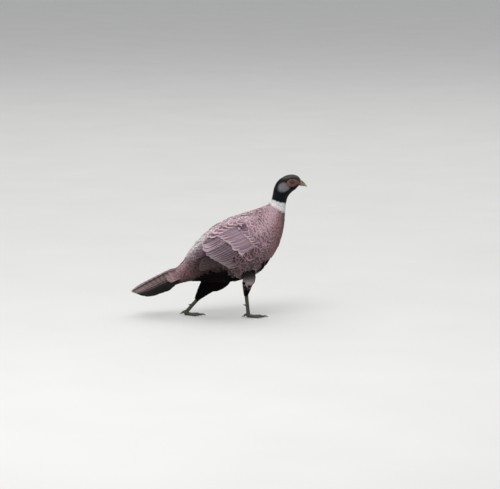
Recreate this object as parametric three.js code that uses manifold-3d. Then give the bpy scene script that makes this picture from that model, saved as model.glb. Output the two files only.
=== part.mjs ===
// A young cock common pheasant with a ring neck, caught in mid-stride, as a life-size still model.
// Millimetres, +Z up. The bird walks towards +X and its left side is +Y. The floor is z = 0.
import * as THREE from "three";
import { mergeVertices } from "three/addons/utils/BufferGeometryUtils.js";
import Module from "manifold-3d";

const wasm = await Module();
wasm.setup();

const GAP = 0.3; // left between pieces that touch
const DEG = Math.PI / 180;
const RIGHT = -1;
const LEFT = 1;

// Sections of the feathered outline from the tail to the face. Each is square to the spine: its centre
// (x, z), the spine's slope in degrees, the reach above and below the centre, and half the width.
// The numbers before the list are the stations in it where one piece of the body ends.
const TAIL_ROOT = 1;
const NECK_BASE = 8.3;
const COLLAR_TOP = 9.25;
const HEAD_BASE = 11.2;
const FACE = 17;
const STATIONS = [
  { x: -122, z: 99, slope: 25, rise: 18, drop: 15, half: 17 },
  { x: -84, z: 118, slope: 27, rise: 29, drop: 25, half: 28 },
  { x: -48, z: 137, slope: 31, rise: 51, drop: 52, half: 44 },
  { x: 3, z: 160, slope: 34, rise: 74, drop: 78, half: 58 },
  { x: 57, z: 187, slope: 34, rise: 83, drop: 84, half: 65 },
  { x: 98, z: 210, slope: 33, rise: 76, drop: 71, half: 63 },
  { x: 129, z: 236, slope: 33, rise: 60, drop: 57, half: 54 },
  { x: 147, z: 263, slope: 39, rise: 41, drop: 39, half: 41 },
  { x: 155, z: 285, slope: 53, rise: 28, drop: 26, half: 29 },
  { x: 159, z: 305, slope: 69, rise: 20.5, drop: 20.5, half: 21.5 },
  { x: 163, z: 322, slope: 77, rise: 20, drop: 20, half: 19.5 },
  { x: 169, z: 337, slope: 73, rise: 23, drop: 23, half: 19.5 },
  { x: 178, z: 349, slope: 61, rise: 25, drop: 24.5, half: 19.5 },
  { x: 189, z: 357, slope: 43, rise: 23.5, drop: 22.5, half: 18.5 },
  { x: 199.5, z: 360.5, slope: 23, rise: 20.5, drop: 18.5, half: 16.5 },
  { x: 207.5, z: 360.5, slope: 4, rise: 16.5, drop: 15, half: 13 },
  { x: 213, z: 359, slope: -9, rise: 11.5, drop: 11, half: 9.6 },
  { x: 215.5, z: 358.2, slope: -14, rise: 9, drop: 8.5, half: 7.4 },
];

// One value on the smooth curve through a list of values that lie one apart.
function smooth(values, at) {
  const last = values.length - 1;
  const i = Math.min(Math.max(Math.floor(at), 0), last - 1);
  const t = at - i;
  const [a, b, c, d] = [i - 1, i, i + 1, i + 2].map((k) => values[Math.min(Math.max(k, 0), last)]);
  return 0.5 * (2 * b + (c - a) * t + (2 * a - 5 * b + 4 * c - d) * t * t + (3 * b - a - 3 * c + d) * t ** 3);
}

function sectionAt(u) {
  const value = (key) => smooth(STATIONS.map((s) => s[key]), u);
  const slope = value("slope") * DEG;
  return {
    centre: new THREE.Vector3(value("x"), 0, value("z")),
    up: new THREE.Vector3(-Math.sin(slope), 0, Math.cos(slope)),
    rise: value("rise"),
    drop: value("drop"),
    half: value("half"),
  };
}

// A point on the outline: u counts stations, round is in degrees from the back down the left side,
// and lift is a height in millimetres outside the outline.
function outlinePoint(u, round, lift = 0) {
  const s = sectionAt(u);
  const up = Math.cos(round * DEG);
  const across = Math.sin(round * DEG) * (s.half + lift);
  const along = up * ((up > 0 ? s.rise : s.drop) + lift);
  return s.centre.addScaledVector(s.up, along).setY(across);
}

// Millimetres for one station, and for one degree round, at a place on the outline.
function scaleAt(u, round) {
  const step = 0.01;
  const here = outlinePoint(u, round);
  return {
    perStation: outlinePoint(u + step, round).distanceTo(here) / step,
    perDegree: outlinePoint(u, round + 1).distanceTo(here),
  };
}

// A closed surface over a row of rings, each a list of the same number of points, with flat ends.
function loft(rings) {
  const sides = rings[0].length;
  const points = rings.flat();
  const centres = [rings[0], rings[rings.length - 1]].map((ring) =>
    ring.reduce((sum, p) => sum.add(p), new THREE.Vector3()).divideScalar(sides),
  );
  const index = [];
  for (let r = 0; r + 1 < rings.length; r++) {
    for (let k = 0; k < sides; k++) {
      const [a, b] = [r * sides + k, r * sides + ((k + 1) % sides)];
      index.push(a, b, b + sides, a, b + sides, a + sides);
    }
  }
  const first = points.length;
  const end = (rings.length - 1) * sides;
  for (let k = 0; k < sides; k++) {
    const next = (k + 1) % sides;
    index.push(first, next, k, first + 1, end + k, end + next);
  }
  const geometry = new THREE.BufferGeometry().setFromPoints([...points, ...centres]);
  geometry.setIndex(index);
  return geometry;
}

// A closed surface round an opening: sections in a circle, each a closed list of as many points.
function hoop(sections) {
  const sides = sections[0].length;
  const index = [];
  for (let r = 0; r < sections.length; r++) {
    const here = r * sides;
    const beyond = ((r + 1) % sections.length) * sides;
    for (let k = 0; k < sides; k++) {
      const next = (k + 1) % sides;
      index.push(here + k, here + next, beyond + next, here + k, beyond + next, beyond + k);
    }
  }
  const geometry = new THREE.BufferGeometry().setFromPoints(sections.flat());
  geometry.setIndex(index);
  return geometry;
}

// A thin sheet over rows of points with a top and a bottom side, split into triangles alike on both.
function sheet(rows) {
  const across = rows[0].top.length;
  const points = rows.flatMap((row) => [...row.top, ...row.bottom]);
  const top = (r, k) => r * 2 * across + k;
  const bottom = (r, k) => top(r, k) + across;
  const index = [];
  const quad = (a, b, c, d) => index.push(a, b, c, a, c, d);
  for (let r = 0; r + 1 < rows.length; r++) {
    for (let k = 0; k + 1 < across; k++) {
      quad(top(r, k), top(r, k + 1), top(r + 1, k + 1), top(r + 1, k));
      quad(bottom(r, k), bottom(r + 1, k), bottom(r + 1, k + 1), bottom(r, k + 1));
    }
    const edge = across - 1;
    quad(top(r, 0), top(r + 1, 0), bottom(r + 1, 0), bottom(r, 0));
    quad(top(r, edge), bottom(r, edge), bottom(r + 1, edge), top(r + 1, edge));
  }
  const last = rows.length - 1;
  for (let k = 0; k + 1 < across; k++) {
    quad(top(0, k), bottom(0, k), bottom(0, k + 1), top(0, k + 1));
    quad(top(last, k), top(last, k + 1), bottom(last, k + 1), bottom(last, k));
  }
  const geometry = new THREE.BufferGeometry().setFromPoints(points);
  geometry.setIndex(index);
  return geometry;
}

// A three.js geometry as a solid, turned to face outwards.
function solidOf(geometry) {
  const bare = geometry.clone();
  bare.deleteAttribute("normal");
  bare.deleteAttribute("uv");
  const merged = mergeVertices(bare, 1e-4);
  const triVerts = new Uint32Array(merged.index.array);
  const vertProperties = merged.attributes.position.array;
  const made = () => new wasm.Manifold(new wasm.Mesh({ numProp: 3, vertProperties, triVerts }));
  const solid = made();
  if (solid.volume() > 0) return solid;
  for (let i = 0; i < triVerts.length; i += 3) {
    [triVerts[i + 1], triVerts[i + 2]] = [triVerts[i + 2], triVerts[i + 1]];
  }
  return made();
}

const loftSolid = (rings) => solidOf(loft(rings));

// The largest closed surface of a solid: sealed hollows and loose scraps are dropped.
function largest(solid) {
  const bodies = solid.decompose().sort((a, b) => b.volume() - a.volume());
  return bodies[0];
}

function geometryOf(solid) {
  const mesh = solid.getMesh();
  const points = [];
  for (let i = 0; i < mesh.numVert; i++) {
    points.push(new THREE.Vector3().fromArray(mesh.vertProperties, i * mesh.numProp));
  }
  const geometry = new THREE.BufferGeometry().setFromPoints(points);
  geometry.setIndex(Array.from(mesh.triVerts));
  geometry.computeVertexNormals();
  return geometry;
}

const COLOURS = {
  plumage: { color: 0x8a5f4e, roughness: 0.75 },
  collar: { color: 0xe6e2e0, roughness: 0.8 },
  darkNeck: { color: 0x10211f, roughness: 0.4 },
  wing: { color: 0x8f7a7c, roughness: 0.7 },
  tail: { color: 0x77615a, roughness: 0.65 },
  thigh: { color: 0x241d1b, roughness: 0.85 },
  wattle: { color: 0x8c3a34, roughness: 0.6 },
  eye: { color: 0x2a1608, roughness: 0.1 },
  bill: { color: 0x9c9078, roughness: 0.45 },
  scale: { color: 0x5d5f52, roughness: 0.55 },
  claw: { color: 0x2b2622, roughness: 0.4 },
};

const bird = new THREE.Group();

function addNode(name, solid, colour) {
  const material = new THREE.MeshStandardMaterial({ ...COLOURS[colour], metalness: 0 });
  const mesh = new THREE.Mesh(geometryOf(largest(solid)), material);
  mesh.name = name;
  bird.add(mesh);
}

// Body, collar, neck and head are lengths of one outline with a thin gap between them.
function outlineLength(from, to, rows, sides, grow = 0) {
  const rings = [];
  for (let r = 0; r <= rows; r++) {
    const u = from + ((to - from) * r) / rows;
    const ring = [];
    for (let k = 0; k < sides; k++) ring.push(outlinePoint(u, (360 * k) / sides, grow));
    rings.push(ring);
  }
  return loftSolid(rings);
}

const halfGap = (u) => (0.6 * GAP) / scaleAt(u, 90).perStation;

const torso = outlineLength(TAIL_ROOT + halfGap(TAIL_ROOT), NECK_BASE - halfGap(NECK_BASE), 18, 22);
const torsoClear = outlineLength(TAIL_ROOT - 0.02, NECK_BASE + 0.02, 18, 22, 1.4 * GAP);
const collar = outlineLength(NECK_BASE + halfGap(NECK_BASE), COLLAR_TOP - halfGap(COLLAR_TOP), 2, 20);
const neck = outlineLength(COLLAR_TOP + halfGap(COLLAR_TOP), HEAD_BASE - halfGap(HEAD_BASE), 5, 20);
const skull = outlineLength(HEAD_BASE + halfGap(HEAD_BASE), FACE, 13, 20);
const skullClear = outlineLength(HEAD_BASE, FACE + 0.2, 13, 20, 1.2 * GAP);

// A sphere, made by three.js.
function ball(radius, centre, across = 20, high = 14) {
  const geometry = new THREE.SphereGeometry(radius, across, high);
  return solidOf(geometry.translate(centre.x, centre.y, centre.z));
}

const shares = (count) => Array.from({ length: count + 1 }, (_, k) => k / count);

// A pad that lies on the outline: from and to are stations, rows and columns the shares of its length
// and width where it bends, edges the round angles of its two sides and height its thickness.
function pad({ from, to, rows, columns, edges, height, depth, side }) {
  return solidOf(
    sheet(
      rows.map((a) => {
        const u = from + (to - from) * a;
        const [upper, lower] = edges(a);
        const round = (b) => side * (upper + (lower - upper) * b);
        return {
          top: columns.map((b) => outlinePoint(u, round(b), height(a, b))),
          bottom: columns.map((b) => outlinePoint(u, round(b), -depth)),
        };
      }),
    ),
  );
}

// The same random draw on every run, from -1 to 1.
let seed = 20;
function jitter() {
  seed = (seed * 16807) % 2147483647;
  return (2 * seed) / 2147483647 - 1;
}

// Outlines of a long and a short vane from root to tip: half width as a share of the widest.
const LONG_VANE = [
  { t: 0, wide: 0.5 },
  { t: 0.4, wide: 0.92 },
  { t: 0.78, wide: 1 },
  { t: 0.95, wide: 0.68 },
  { t: 1, wide: 0.26 },
];
const SHORT_VANE = [
  { t: 0, wide: 0.55 },
  { t: 0.5, wide: 0.97 },
  { t: 0.88, wide: 0.86 },
  { t: 1, wide: 0.3 },
];
const VANE_EDGE = 0.55; // thickness at the two edges
const VANE_TIP = 0.85; // share of the thickness left at the tip

// A vane with a thicker shaft line. surface(t, across, up) gives the place of each of its points, and
// inner is its half width on the side that is tucked under its neighbour.
function vane(shape, surface, half, thick, inner = half) {
  const rows = shape.map(({ t, wide }) => {
    const middle = thick * (1 - (1 - VANE_TIP) * t);
    const row = (edgeUp, middleUp) => [
      surface(t, -wide * Math.min(inner, half), edgeUp),
      surface(t, 0, middleUp),
      surface(t, wide * half, edgeUp),
    ];
    return { top: row(VANE_EDGE, middle), bottom: row(0, 0) };
  });
  return solidOf(sheet(rows));
}

const mix = ([a, b], t) => a + (b - a) * t;

// Where the rings of a scaled limb lie: each scute thickens slowly and then drops in one step.
function scuteRings(count) {
  const rings = [];
  for (let k = 0; k < count; k++) {
    rings.push({ share: k / count, raised: 0 }, { share: (k + 0.82) / count, raised: 1 });
  }
  return [...rings, { share: 1, raised: 0 }];
}

const evenRings = (count) => shares(count).map((share) => ({ share, raised: 0 }));

// A tube of oval sections along a line: stops give the centre, the half size in the side view and the
// half size across it. grow fattens it all round, and scutes stand out on the front or upper side.
function limb(stops, sides, rings, grow = 0, scute = 0) {
  const keys = ["x", "y", "z", "half", "wide"];
  const last = stops.length - 1;
  const at = (t) => Object.fromEntries(keys.map((k) => [k, smooth(stops.map((s) => s[k]), t)]));
  return loftSolid(
    rings.map(({ share, raised }) => {
      const t = last * share;
      const here = at(t);
      const [before, after] = [at(Math.max(t - 0.05, 0)), at(Math.min(t + 0.05, last))];
      const run = new THREE.Vector3(after.x - before.x, after.y - before.y, after.z - before.z).normalize();
      const wideWay = new THREE.Vector3(0, 1, 0).addScaledVector(run, -run.y).normalize();
      const otherWay = new THREE.Vector3().crossVectors(run, wideWay);
      return Array.from({ length: sides }, (_, k) => {
        const angle = (2 * Math.PI * k) / sides;
        const ridge = raised * scute * Math.max(0, Math.sin(angle)) + grow;
        return new THREE.Vector3(here.x, here.y, here.z)
          .addScaledVector(wideWay, (here.wide + ridge) * Math.cos(angle))
          .addScaledVector(otherWay, (here.half + ridge) * Math.sin(angle));
      });
    }),
  );
}

// Legs. The right leg carries the bird, and the left one is about to leave the ground behind it.
const LEGS = {
  right: {
    side: RIGHT,
    hip: { x: 70, y: 30, z: 152 },
    knee: { x: 84, y: 31, z: 110 },
    hock: { x: 72, y: 23, z: 76 },
    foot: { x: 79, y: 19, z: 8 },
    heading: 4,
  },
  left: {
    side: LEFT,
    hip: { x: 34, y: 30, z: 146 },
    knee: { x: 8, y: 31, z: 99 },
    hock: { x: -39, y: 23, z: 62 },
    foot: { x: -87, y: 19, z: 8 },
    heading: -5,
  },
};

const SHANK_HALF = 3.9;
const SCUTE = 0.45; // how far a scute stands out
const CUFF = 0.16; // where the leg feathers end, as a share of the way from hock to knee
const SOLE = 6; // radius of the ball of the foot
const SOLE_CLEAR = 0.3; // its height off the floor
const SINK = 0.7; // how far each toe's round underside is pressed flat
const TOES = [
  { name: "middle", turn: 0, length: 43, half: 3.5, claw: 10, scutes: 8 },
  { name: "inner", turn: 30, length: 31, half: 3.2, claw: 9, scutes: 6 },
  { name: "outer", turn: -31, length: 34, half: 3.1, claw: 9, scutes: 6 },
];
const HIND = { turn: 164, length: 12, half: 2.5, claw: 7, scutes: 2 };
const SPUR = { up: 0.36, length: 7.5, half: 2.7 };

// The place at a share of the way from a to b.
function between(a, b, t) {
  return { x: a.x + (b.x - a.x) * t, y: a.y + (b.y - a.y) * t, z: a.z + (b.z - a.z) * t };
}

function aboveFloor(solid) {
  return solid.trimByPlane([0, 0, 1], 0);
}

function buildLeg(name, leg) {
  const stop = (p, half, wide) => ({ x: p.x, y: leg.side * p.y, z: p.z, half, wide });
  const shank = (grow, scute) =>
    limb(
      [
        stop(between(leg.hock, leg.knee, CUFF), 4.4, 4.2),
        stop(leg.hock, 5.4, 5),
        stop(between(leg.hock, leg.foot, 0.15), 4.4, 4),
        stop(between(leg.hock, leg.foot, 0.5), SHANK_HALF, 3.2),
        stop(between(leg.hock, leg.foot, 0.86), 4.2, 4.2),
        stop(leg.foot, 5.2, 5.4),
      ],
      8,
      scuteRings(13),
      grow,
      scute,
    );
  const ankle = new THREE.Vector3(leg.foot.x, leg.side * leg.foot.y, SOLE + SOLE_CLEAR);
  const footBall = (grow) => ball(SOLE + grow, ankle, 10, 7);
  const shankClear = shank(GAP + SCUTE, 0).add(footBall(GAP));
  addNode("shank_" + name, shank(0, SCUTE).add(footBall(0)), "scale");

  const thigh = limb(
    [
      stop(leg.hip, 24, 15),
      stop(leg.knee, 22, 14),
      stop(between(leg.hock, leg.knee, 0.5), 11.5, 9.5),
      stop(between(leg.hock, leg.knee, 0.12), 5.8, 5.6),
    ],
    12,
    evenRings(7),
  );
  addNode("thigh_" + name, thigh.subtract(torsoClear).subtract(shankClear), "thigh");

  // A toe runs out level from the ball of the foot, and its claw curves down from its end. The toes
  // start inside the foot and are cut back to a thin gap from it and from one another.
  const heading = (turn) => {
    const angle = (leg.heading + leg.side * turn) * DEG;
    return { x: Math.cos(angle), y: leg.side * Math.sin(angle) };
  };
  const toeStops = (toe, start, grow) => {
    const way = heading(toe.turn);
    const stopAt = (along, z, half) => {
      const place = { x: leg.foot.x + way.x * along, y: leg.foot.y + way.y * along, z };
      return stop(place, half + grow, half * 1.05 + grow);
    };
    const rest = toe.half - SINK;
    return [
      stopAt(0, start, toe.half * 0.95),
      stopAt(toe.length * 0.3, rest + 0.6, toe.half * 1.04),
      stopAt(toe.length * 0.5, rest - 0.2, toe.half * 0.92),
      stopAt(toe.length * 0.75, rest - 0.3, toe.half * 0.95),
      stopAt(toe.length, rest - 0.8, toe.half * 0.66),
    ];
  };
  const claw = (toe, base, drop) => {
    const way = heading(toe.turn);
    const stopAt = (along, z, half) =>
      stop({ x: leg.foot.x + way.x * along, y: leg.foot.y + way.y * along, z }, half, half * 0.8);
    return limb(
      [
        stopAt(toe.length - 2, base, toe.half * 0.56),
        stopAt(toe.length + toe.claw * 0.3, base + 0.3, toe.half * 0.52),
        stopAt(toe.length + toe.claw * 0.7, base - drop * 0.4, toe.half * 0.32),
        stopAt(toe.length + toe.claw, base - drop, 0.3),
      ],
      5,
      evenRings(4),
    );
  };
  let beside = shankClear;
  for (const toe of TOES) {
    const made = limb(toeStops(toe, SOLE, 0), 6, scuteRings(toe.scutes), 0, SCUTE);
    const clear = limb(toeStops(toe, SOLE, GAP + SCUTE), 6, evenRings(5));
    addNode(`toe_${toe.name}_${name}`, aboveFloor(made.subtract(beside)), "scale");
    addNode(`claw_${toe.name}_${name}`, claw(toe, toe.half * 0.72 + 0.6, 2).subtract(clear), "claw");
    beside = beside.add(clear);
  }

  // The hind toe is set higher and slants down.
  const hindBase = 12;
  const hindEnd = 5;
  const hindWay = heading(HIND.turn);
  const hindAt = (along, z, half) =>
    stop({ x: leg.foot.x + hindWay.x * along, y: leg.foot.y + hindWay.y * along, z }, half, half);
  const hind = (grow) =>
    limb(
      [
        hindAt(0, hindBase, HIND.half + grow),
        hindAt(HIND.length * 0.6, (hindBase + hindEnd) / 2, HIND.half + grow),
        hindAt(HIND.length + grow, hindEnd, HIND.half * 0.8 + grow),
      ],
      8,
      grow ? evenRings(6) : scuteRings(HIND.scutes + 2),
      0,
      grow ? 0 : SCUTE,
    );
  addNode(`toe_hind_${name}`, hind(0).subtract(beside), "scale");
  addNode(`claw_hind_${name}`, claw(HIND, hindEnd - 0.6, 2.6).subtract(hind(GAP + SCUTE)), "claw");

  // The spur stands on the inner back of the shank.
  const root = between(leg.foot, leg.hock, SPUR.up);
  const back = { x: root.x - SPUR.length - SHANK_HALF, y: root.y - 3.5, z: root.z + 1.5 };
  const spurStop = (t, half) => stop(between(root, back, t), half, half);
  const stops = [spurStop(0, SPUR.half), spurStop(0.5, SPUR.half * 0.8), spurStop(1, 0.4)];
  const spur = limb(stops, 6, evenRings(4));
  addNode("spur_" + name, spur.subtract(shankClear), "claw");
}

for (const [name, leg] of Object.entries(LEGS)) buildLeg(name, leg);

addNode("torso", torso, "plumage");
addNode("collar", collar, "collar");
addNode("neck", neck, "darkNeck");

// Head: eyes in sockets, each with a ring of lids and a bare wattle round it. The wattle's reach is
// measured from the middle of the eye, and bulbs stand on it in turn along its spokes.
const EYE = { u: 13.65, round: 88, sink: 4.7, radius: 6.2 };
const LID = { under: 5.4, inner: 4.8, crest: 5.6, outer: 6.8, height: 2.6 };
const WATTLE = {
  front: 31, back: 15, up: 9.5, down: 13, clear: 0.75, thick: 1.1, edge: 0.4, bulb: 0.7, spokes: 20,
};

function eyeball(side, grow = 0) {
  return ball(EYE.radius + grow, outlinePoint(EYE.u, side * EYE.round, -EYE.sink), 10, 8);
}

// Bends a flat geometry onto the outline: its x runs towards the face, its y down the side.
function wrap(geometry, u, round, side) {
  const { perStation, perDegree } = scaleAt(u, round);
  const at = geometry.attributes.position;
  for (let i = 0; i < at.count; i++) {
    const p = outlinePoint(u + at.getX(i) / perStation, side * (round + at.getY(i) / perDegree), at.getZ(i));
    at.setXYZ(i, p.x, p.y, p.z);
  }
  return geometry;
}

function wattle(side) {
  const top = WATTLE.clear + WATTLE.thick;
  const sections = [];
  for (let k = 0; k < WATTLE.spokes; k++) {
    const angle = (2 * Math.PI * k) / WATTLE.spokes;
    const [ahead, down] = [Math.cos(angle), Math.sin(angle)];
    const long = ahead > 0 ? WATTLE.front : WATTLE.back;
    const tall = down > 0 ? WATTLE.down : WATTLE.up;
    const reach = 1 / Math.hypot(ahead / long, down / tall);
    const out = (share) => LID.outer + (reach - LID.outer) * share;
    const bulb = (ring) => WATTLE.bulb * ((k + ring) % 2);
    const profile = [
      [LID.under, WATTLE.clear],
      [LID.inner, WATTLE.clear + WATTLE.edge],
      [LID.crest - 0.6, LID.height],
      [LID.crest + 0.5, LID.height],
      [LID.outer, top - 0.3],
      [out(0.35), top + bulb(0)],
      [out(0.7), top + bulb(1)],
      [reach, WATTLE.clear + WATTLE.edge],
      [reach - 0.3, WATTLE.clear],
      [out(0.66), WATTLE.clear],
      [out(0.33), WATTLE.clear],
    ];
    sections.push(profile.map(([from, lift]) => new THREE.Vector3(ahead * from, down * from, lift)));
  }
  return solidOf(wrap(hoop(sections), EYE.u, EYE.round, side));
}

let head = skull;
for (const [name, side] of [["right", RIGHT], ["left", LEFT]]) {
  addNode("eye_" + name, eyeball(side), "eye");
  addNode("wattle_" + name, wattle(side), "wattle");
  head = head.subtract(eyeball(side, GAP));
}
addNode("head", head, "darkNeck");

// Bill: two halves that meet along the mouth line, the upper one arched and hooked over the lower.
const BILL = { x: 216, z: 354.2, length: 19.5, fall: 3.2, curve: 5.2, width: 6.6, height: 11, under: 4.6 };

function mouthPoint(t) {
  return new THREE.Vector3(BILL.x + BILL.length * t, 0, BILL.z - BILL.fall * t - BILL.curve * t * t);
}

function billHalf(way, reach, width, depthAt) {
  const rings = [];
  const arch = 6;
  for (const share of [0, 0.25, 0.5, 0.7, 0.87, 0.96, 1]) {
    const t = -0.18 + (reach + 0.18) * share;
    const base = mouthPoint(t).add(new THREE.Vector3(0, 0, (way * GAP) / 2));
    const half = width * Math.max(0.07, 1 - Math.max(0, t / reach) ** 1.5);
    const depth = way * depthAt(Math.max(0, t / reach));
    const ring = [];
    for (let k = 0; k <= arch; k++) {
      const angle = (Math.PI * k) / arch;
      ring.push(base.clone().add(new THREE.Vector3(0, half * Math.cos(angle), depth * Math.sin(angle))));
    }
    ring.push(base.clone());
    rings.push(ring);
  }
  return loftSolid(rings);
}

const NOSTRIL = { t: 0.3, up: 4, across: 5.2, long: 2.6, tall: 1.1 };

function nostril(side) {
  const geometry = new THREE.SphereGeometry(1, 6, 4).scale(NOSTRIL.long, 1.5, NOSTRIL.tall);
  geometry.rotateY(20 * DEG);
  const place = mouthPoint(NOSTRIL.t);
  geometry.translate(place.x, side * NOSTRIL.across, place.z + NOSTRIL.up);
  return solidOf(geometry);
}

const BLUNT = 0.6; // depth of each half at its tip
const upperBill = billHalf(1, 1, BILL.width, (t) => Math.max(BLUNT, BILL.height * (1 - t ** 1.6) ** 0.8));
const nostrils = nostril(RIGHT).add(nostril(LEFT));
addNode("bill_upper", upperBill.subtract(nostrils).subtract(skullClear), "bill");
const lowerBill = billHalf(-1, 0.9, BILL.width * 0.88, (t) => Math.max(BLUNT, BILL.under * (1 - t ** 1.8)));
addNode("bill_lower", lowerBill.subtract(skullClear), "bill");

// Folded wing: the arm under its lesser coverts, and the tiers of vanes that grow from it backwards.
const WRIST = 6.35;
const ARM_END = 3;
const ARM_HEIGHT = 9.5;

function arm(side) {
  return pad({
    from: WRIST,
    to: ARM_END,
    rows: [0, 0.04, 0.11, 0.22, 0.42, 0.68, 1],
    columns: [0, 0.07, 0.26, 0.5, 0.74, 0.93, 1],
    side,
    depth: 4,
    edges: (a) => {
      const open = Math.sqrt(1 - (1 - Math.min(1, (a + 0.01) / 0.24)) ** 2);
      return [82 - 46 * open + 4 * a, 82 + 34 * open - 5 * a];
    },
    height: (a, b) => {
      const along = Math.min(1, 0.12 + 4.4 * a, 1.32 - 1.12 * a);
      return 0.7 + ARM_HEIGHT * along * (4 * b * (1 - b)) ** 0.4;
    },
  });
}

// Each tier lists its lowest vane first: stations and round angles of root and tip for its lowest and
// its highest vane, heights over the outline at root and tip, and how much its lower edge stands out.
const WING_TIERS = [
  // primaries
  { count: 4, root: [3.9, 3.7], rootRound: [100, 82], tip: [1.85, 2.2], tipRound: [94, 76],
    half: 7, lift: [2.2, 1.9], tilt: 0.15, thick: 0.65, shape: LONG_VANE },
  // secondaries
  { count: 8, root: [4.5, 4.05], rootRound: [109, 66], tip: [2.95, 2.25], tipRound: [108, 64],
    half: 9.5, lift: [3.4, 5.2], tilt: 0.19, thick: 0.7, shape: SHORT_VANE },
  // tertials
  { count: 3, root: [4.2, 4.05], rootRound: [60, 47], tip: [2.25, 2.45], tipRound: [56, 43],
    half: 11, lift: [3.6, 5.5], tilt: 0.15, thick: 0.75, shape: SHORT_VANE },
  // greater coverts
  { count: 6, root: [5.2, 4.85], rootRound: [108, 54], tip: [4.0, 3.55], tipRound: [108, 50],
    half: 10.5, lift: [5.6, 7.8], tilt: 0.08, thick: 0.7, shape: SHORT_VANE },
  // median coverts
  { count: 6, root: [5.8, 5.45], rootRound: [105, 54], tip: [4.85, 4.5], tipRound: [108, 51],
    half: 9.5, lift: [6.8, 9.4], tilt: 0.08, thick: 0.7, shape: SHORT_VANE },
  // scapulars
  { count: 4, root: [4.75, 5.75], rootRound: [42, 42], tip: [3.3, 4.4], tipRound: [38, 38],
    half: 10, lift: [3.4, 8], tilt: 0.36, thick: 0.75, shape: SHORT_VANE },
];

function wingVane(tier, i, side) {
  const q = i / (tier.count - 1);
  const root = { u: mix(tier.root, q), round: mix(tier.rootRound, q) };
  const tip = { u: mix(tier.tip, q) + 0.04 * jitter(), round: mix(tier.tipRound, q) + 0.6 * jitter() };
  return vane(
    tier.shape,
    (t, across, up) => {
      const u = mix([root.u, tip.u], t);
      const round = mix([root.round, tip.round], t);
      const { perStation, perDegree } = scaleAt(u, round);
      const run = new THREE.Vector2((tip.u - root.u) * perStation, (tip.round - root.round) * perDegree);
      const way = run.normalize();
      return outlinePoint(
        u + (way.y * across) / perStation,
        side * (round - (way.x * across) / perDegree),
        mix(tier.lift, t) + tier.tilt * across + up,
      );
    },
    tier.half,
    tier.thick,
  );
}

function wing(side) {
  let made = arm(side).subtract(torsoClear);
  for (const tier of WING_TIERS) {
    for (let i = 0; i < tier.count; i++) made = made.add(wingVane(tier, i, side));
  }
  return made;
}

addNode("wing_right", wing(RIGHT), "wing");
addNode("wing_left", wing(LEFT), "wing");

// Tail, half grown: nine pairs of vanes under one another like a steep roof, the middle pair on top and
// longest, with the coverts over their roots. Lengths run along the ridge, drops square to it. Spacing
// is the distance between vanes at their roots and further back, and closing draws them in to the tip.
const TAIL = {
  ridgeX: [-90, -121, -151, -181, -209, -233],
  ridgeZ: [128, 123.5, 113.5, 98.5, 83.5, 66.5],
  pairs: 9, half: 12, thick: 0.65, tilt: 0.33, middleOut: 1.7, middleInner: 6,
  length: [158, 134], spacing: [3, 5.5], roll: [20, 90], spread: 58, closing: 0.68,
};
const TAIL_COVERTS = { above: [0.6, 2.4, 4.2], length: [52, 42], half: 10, lift: 3 };

// How steeply the roof falls at a vane, counted in pairs from the middle.
function rollAt(pair) {
  return mix(TAIL.roll, (Math.max(0, pair) / (TAIL.pairs - 1)) ** 0.85) * DEG;
}

// Where a vane's middle line lies across the roof.
function roofPlace(pair, spacing) {
  let [y, drop] = [0.5 * spacing, 0];
  for (let k = 0; k < pair; k += 0.2) {
    y += 0.2 * spacing * Math.cos(rollAt(k));
    drop += 0.2 * spacing * Math.sin(rollAt(k));
  }
  return { y, drop };
}

// The place of a tail vane's points: out is a height over the roof.
function tailSurface(side, pair, length, out) {
  const full = TAIL.length[0];
  const ridge = (along) => {
    const at = (along / full) * (TAIL.ridgeX.length - 1);
    return new THREE.Vector3(smooth(TAIL.ridgeX, at), 0, smooth(TAIL.ridgeZ, at));
  };
  return (t, across, up) => {
    const along = t * length;
    const open = mix(TAIL.spacing, Math.min(1, along / TAIL.spread));
    const spacing = open * (1 - TAIL.closing * Math.max(0, along / full - 0.38));
    const bend = (rollAt(pair + 0.5) - rollAt(pair - 0.5)) / (2 * spacing);
    const lean = rollAt(pair) - TAIL.tilt;
    const outward = out + up - bend * across * across;
    const { y, drop } = roofPlace(pair, spacing);
    const down = drop + across * Math.sin(lean) - outward * Math.cos(lean);
    const place = ridge(along);
    const back = ridge(along + 1).sub(place).normalize();
    return new THREE.Vector3(
      place.x - down * back.z,
      side * (y + across * Math.cos(lean) + outward * Math.sin(lean)),
      place.z + down * back.x,
    );
  };
}

const tailCore = limb(
  [
    { x: -80, y: 0, z: 120, half: 24.5, wide: 26 },
    { x: -113, y: 0, z: 107, half: 20.5, wide: 20 },
  ],
  14,
  evenRings(2),
);

let tail = tailCore;
for (const side of [RIGHT, LEFT]) {
  for (let pair = 0; pair < TAIL.pairs; pair++) {
    const onTop = pair === 0 && side === RIGHT;
    const length = mix(TAIL.length, pair / (TAIL.pairs - 1)) + 2 * jitter();
    const inner = onTop ? TAIL.middleInner : 0.85 * roofPlace(pair, TAIL.spacing[0]).y;
    const surface = tailSurface(side, pair, length, onTop ? TAIL.middleOut : 0);
    tail = tail.add(vane(LONG_VANE, surface, TAIL.half, TAIL.thick, inner));
  }
  TAIL_COVERTS.above.forEach((pair, i) => {
    const length = mix(TAIL_COVERTS.length, i / (TAIL_COVERTS.above.length - 1));
    const surface = tailSurface(side, pair, length, TAIL_COVERTS.lift);
    const inner = 0.85 * roofPlace(pair, TAIL.spacing[0] + 1).y;
    tail = tail.add(vane(SHORT_VANE, surface, TAIL_COVERTS.half, TAIL.thick, inner));
  });
}
addNode("tail", tail.subtract(torsoClear), "tail");

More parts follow.
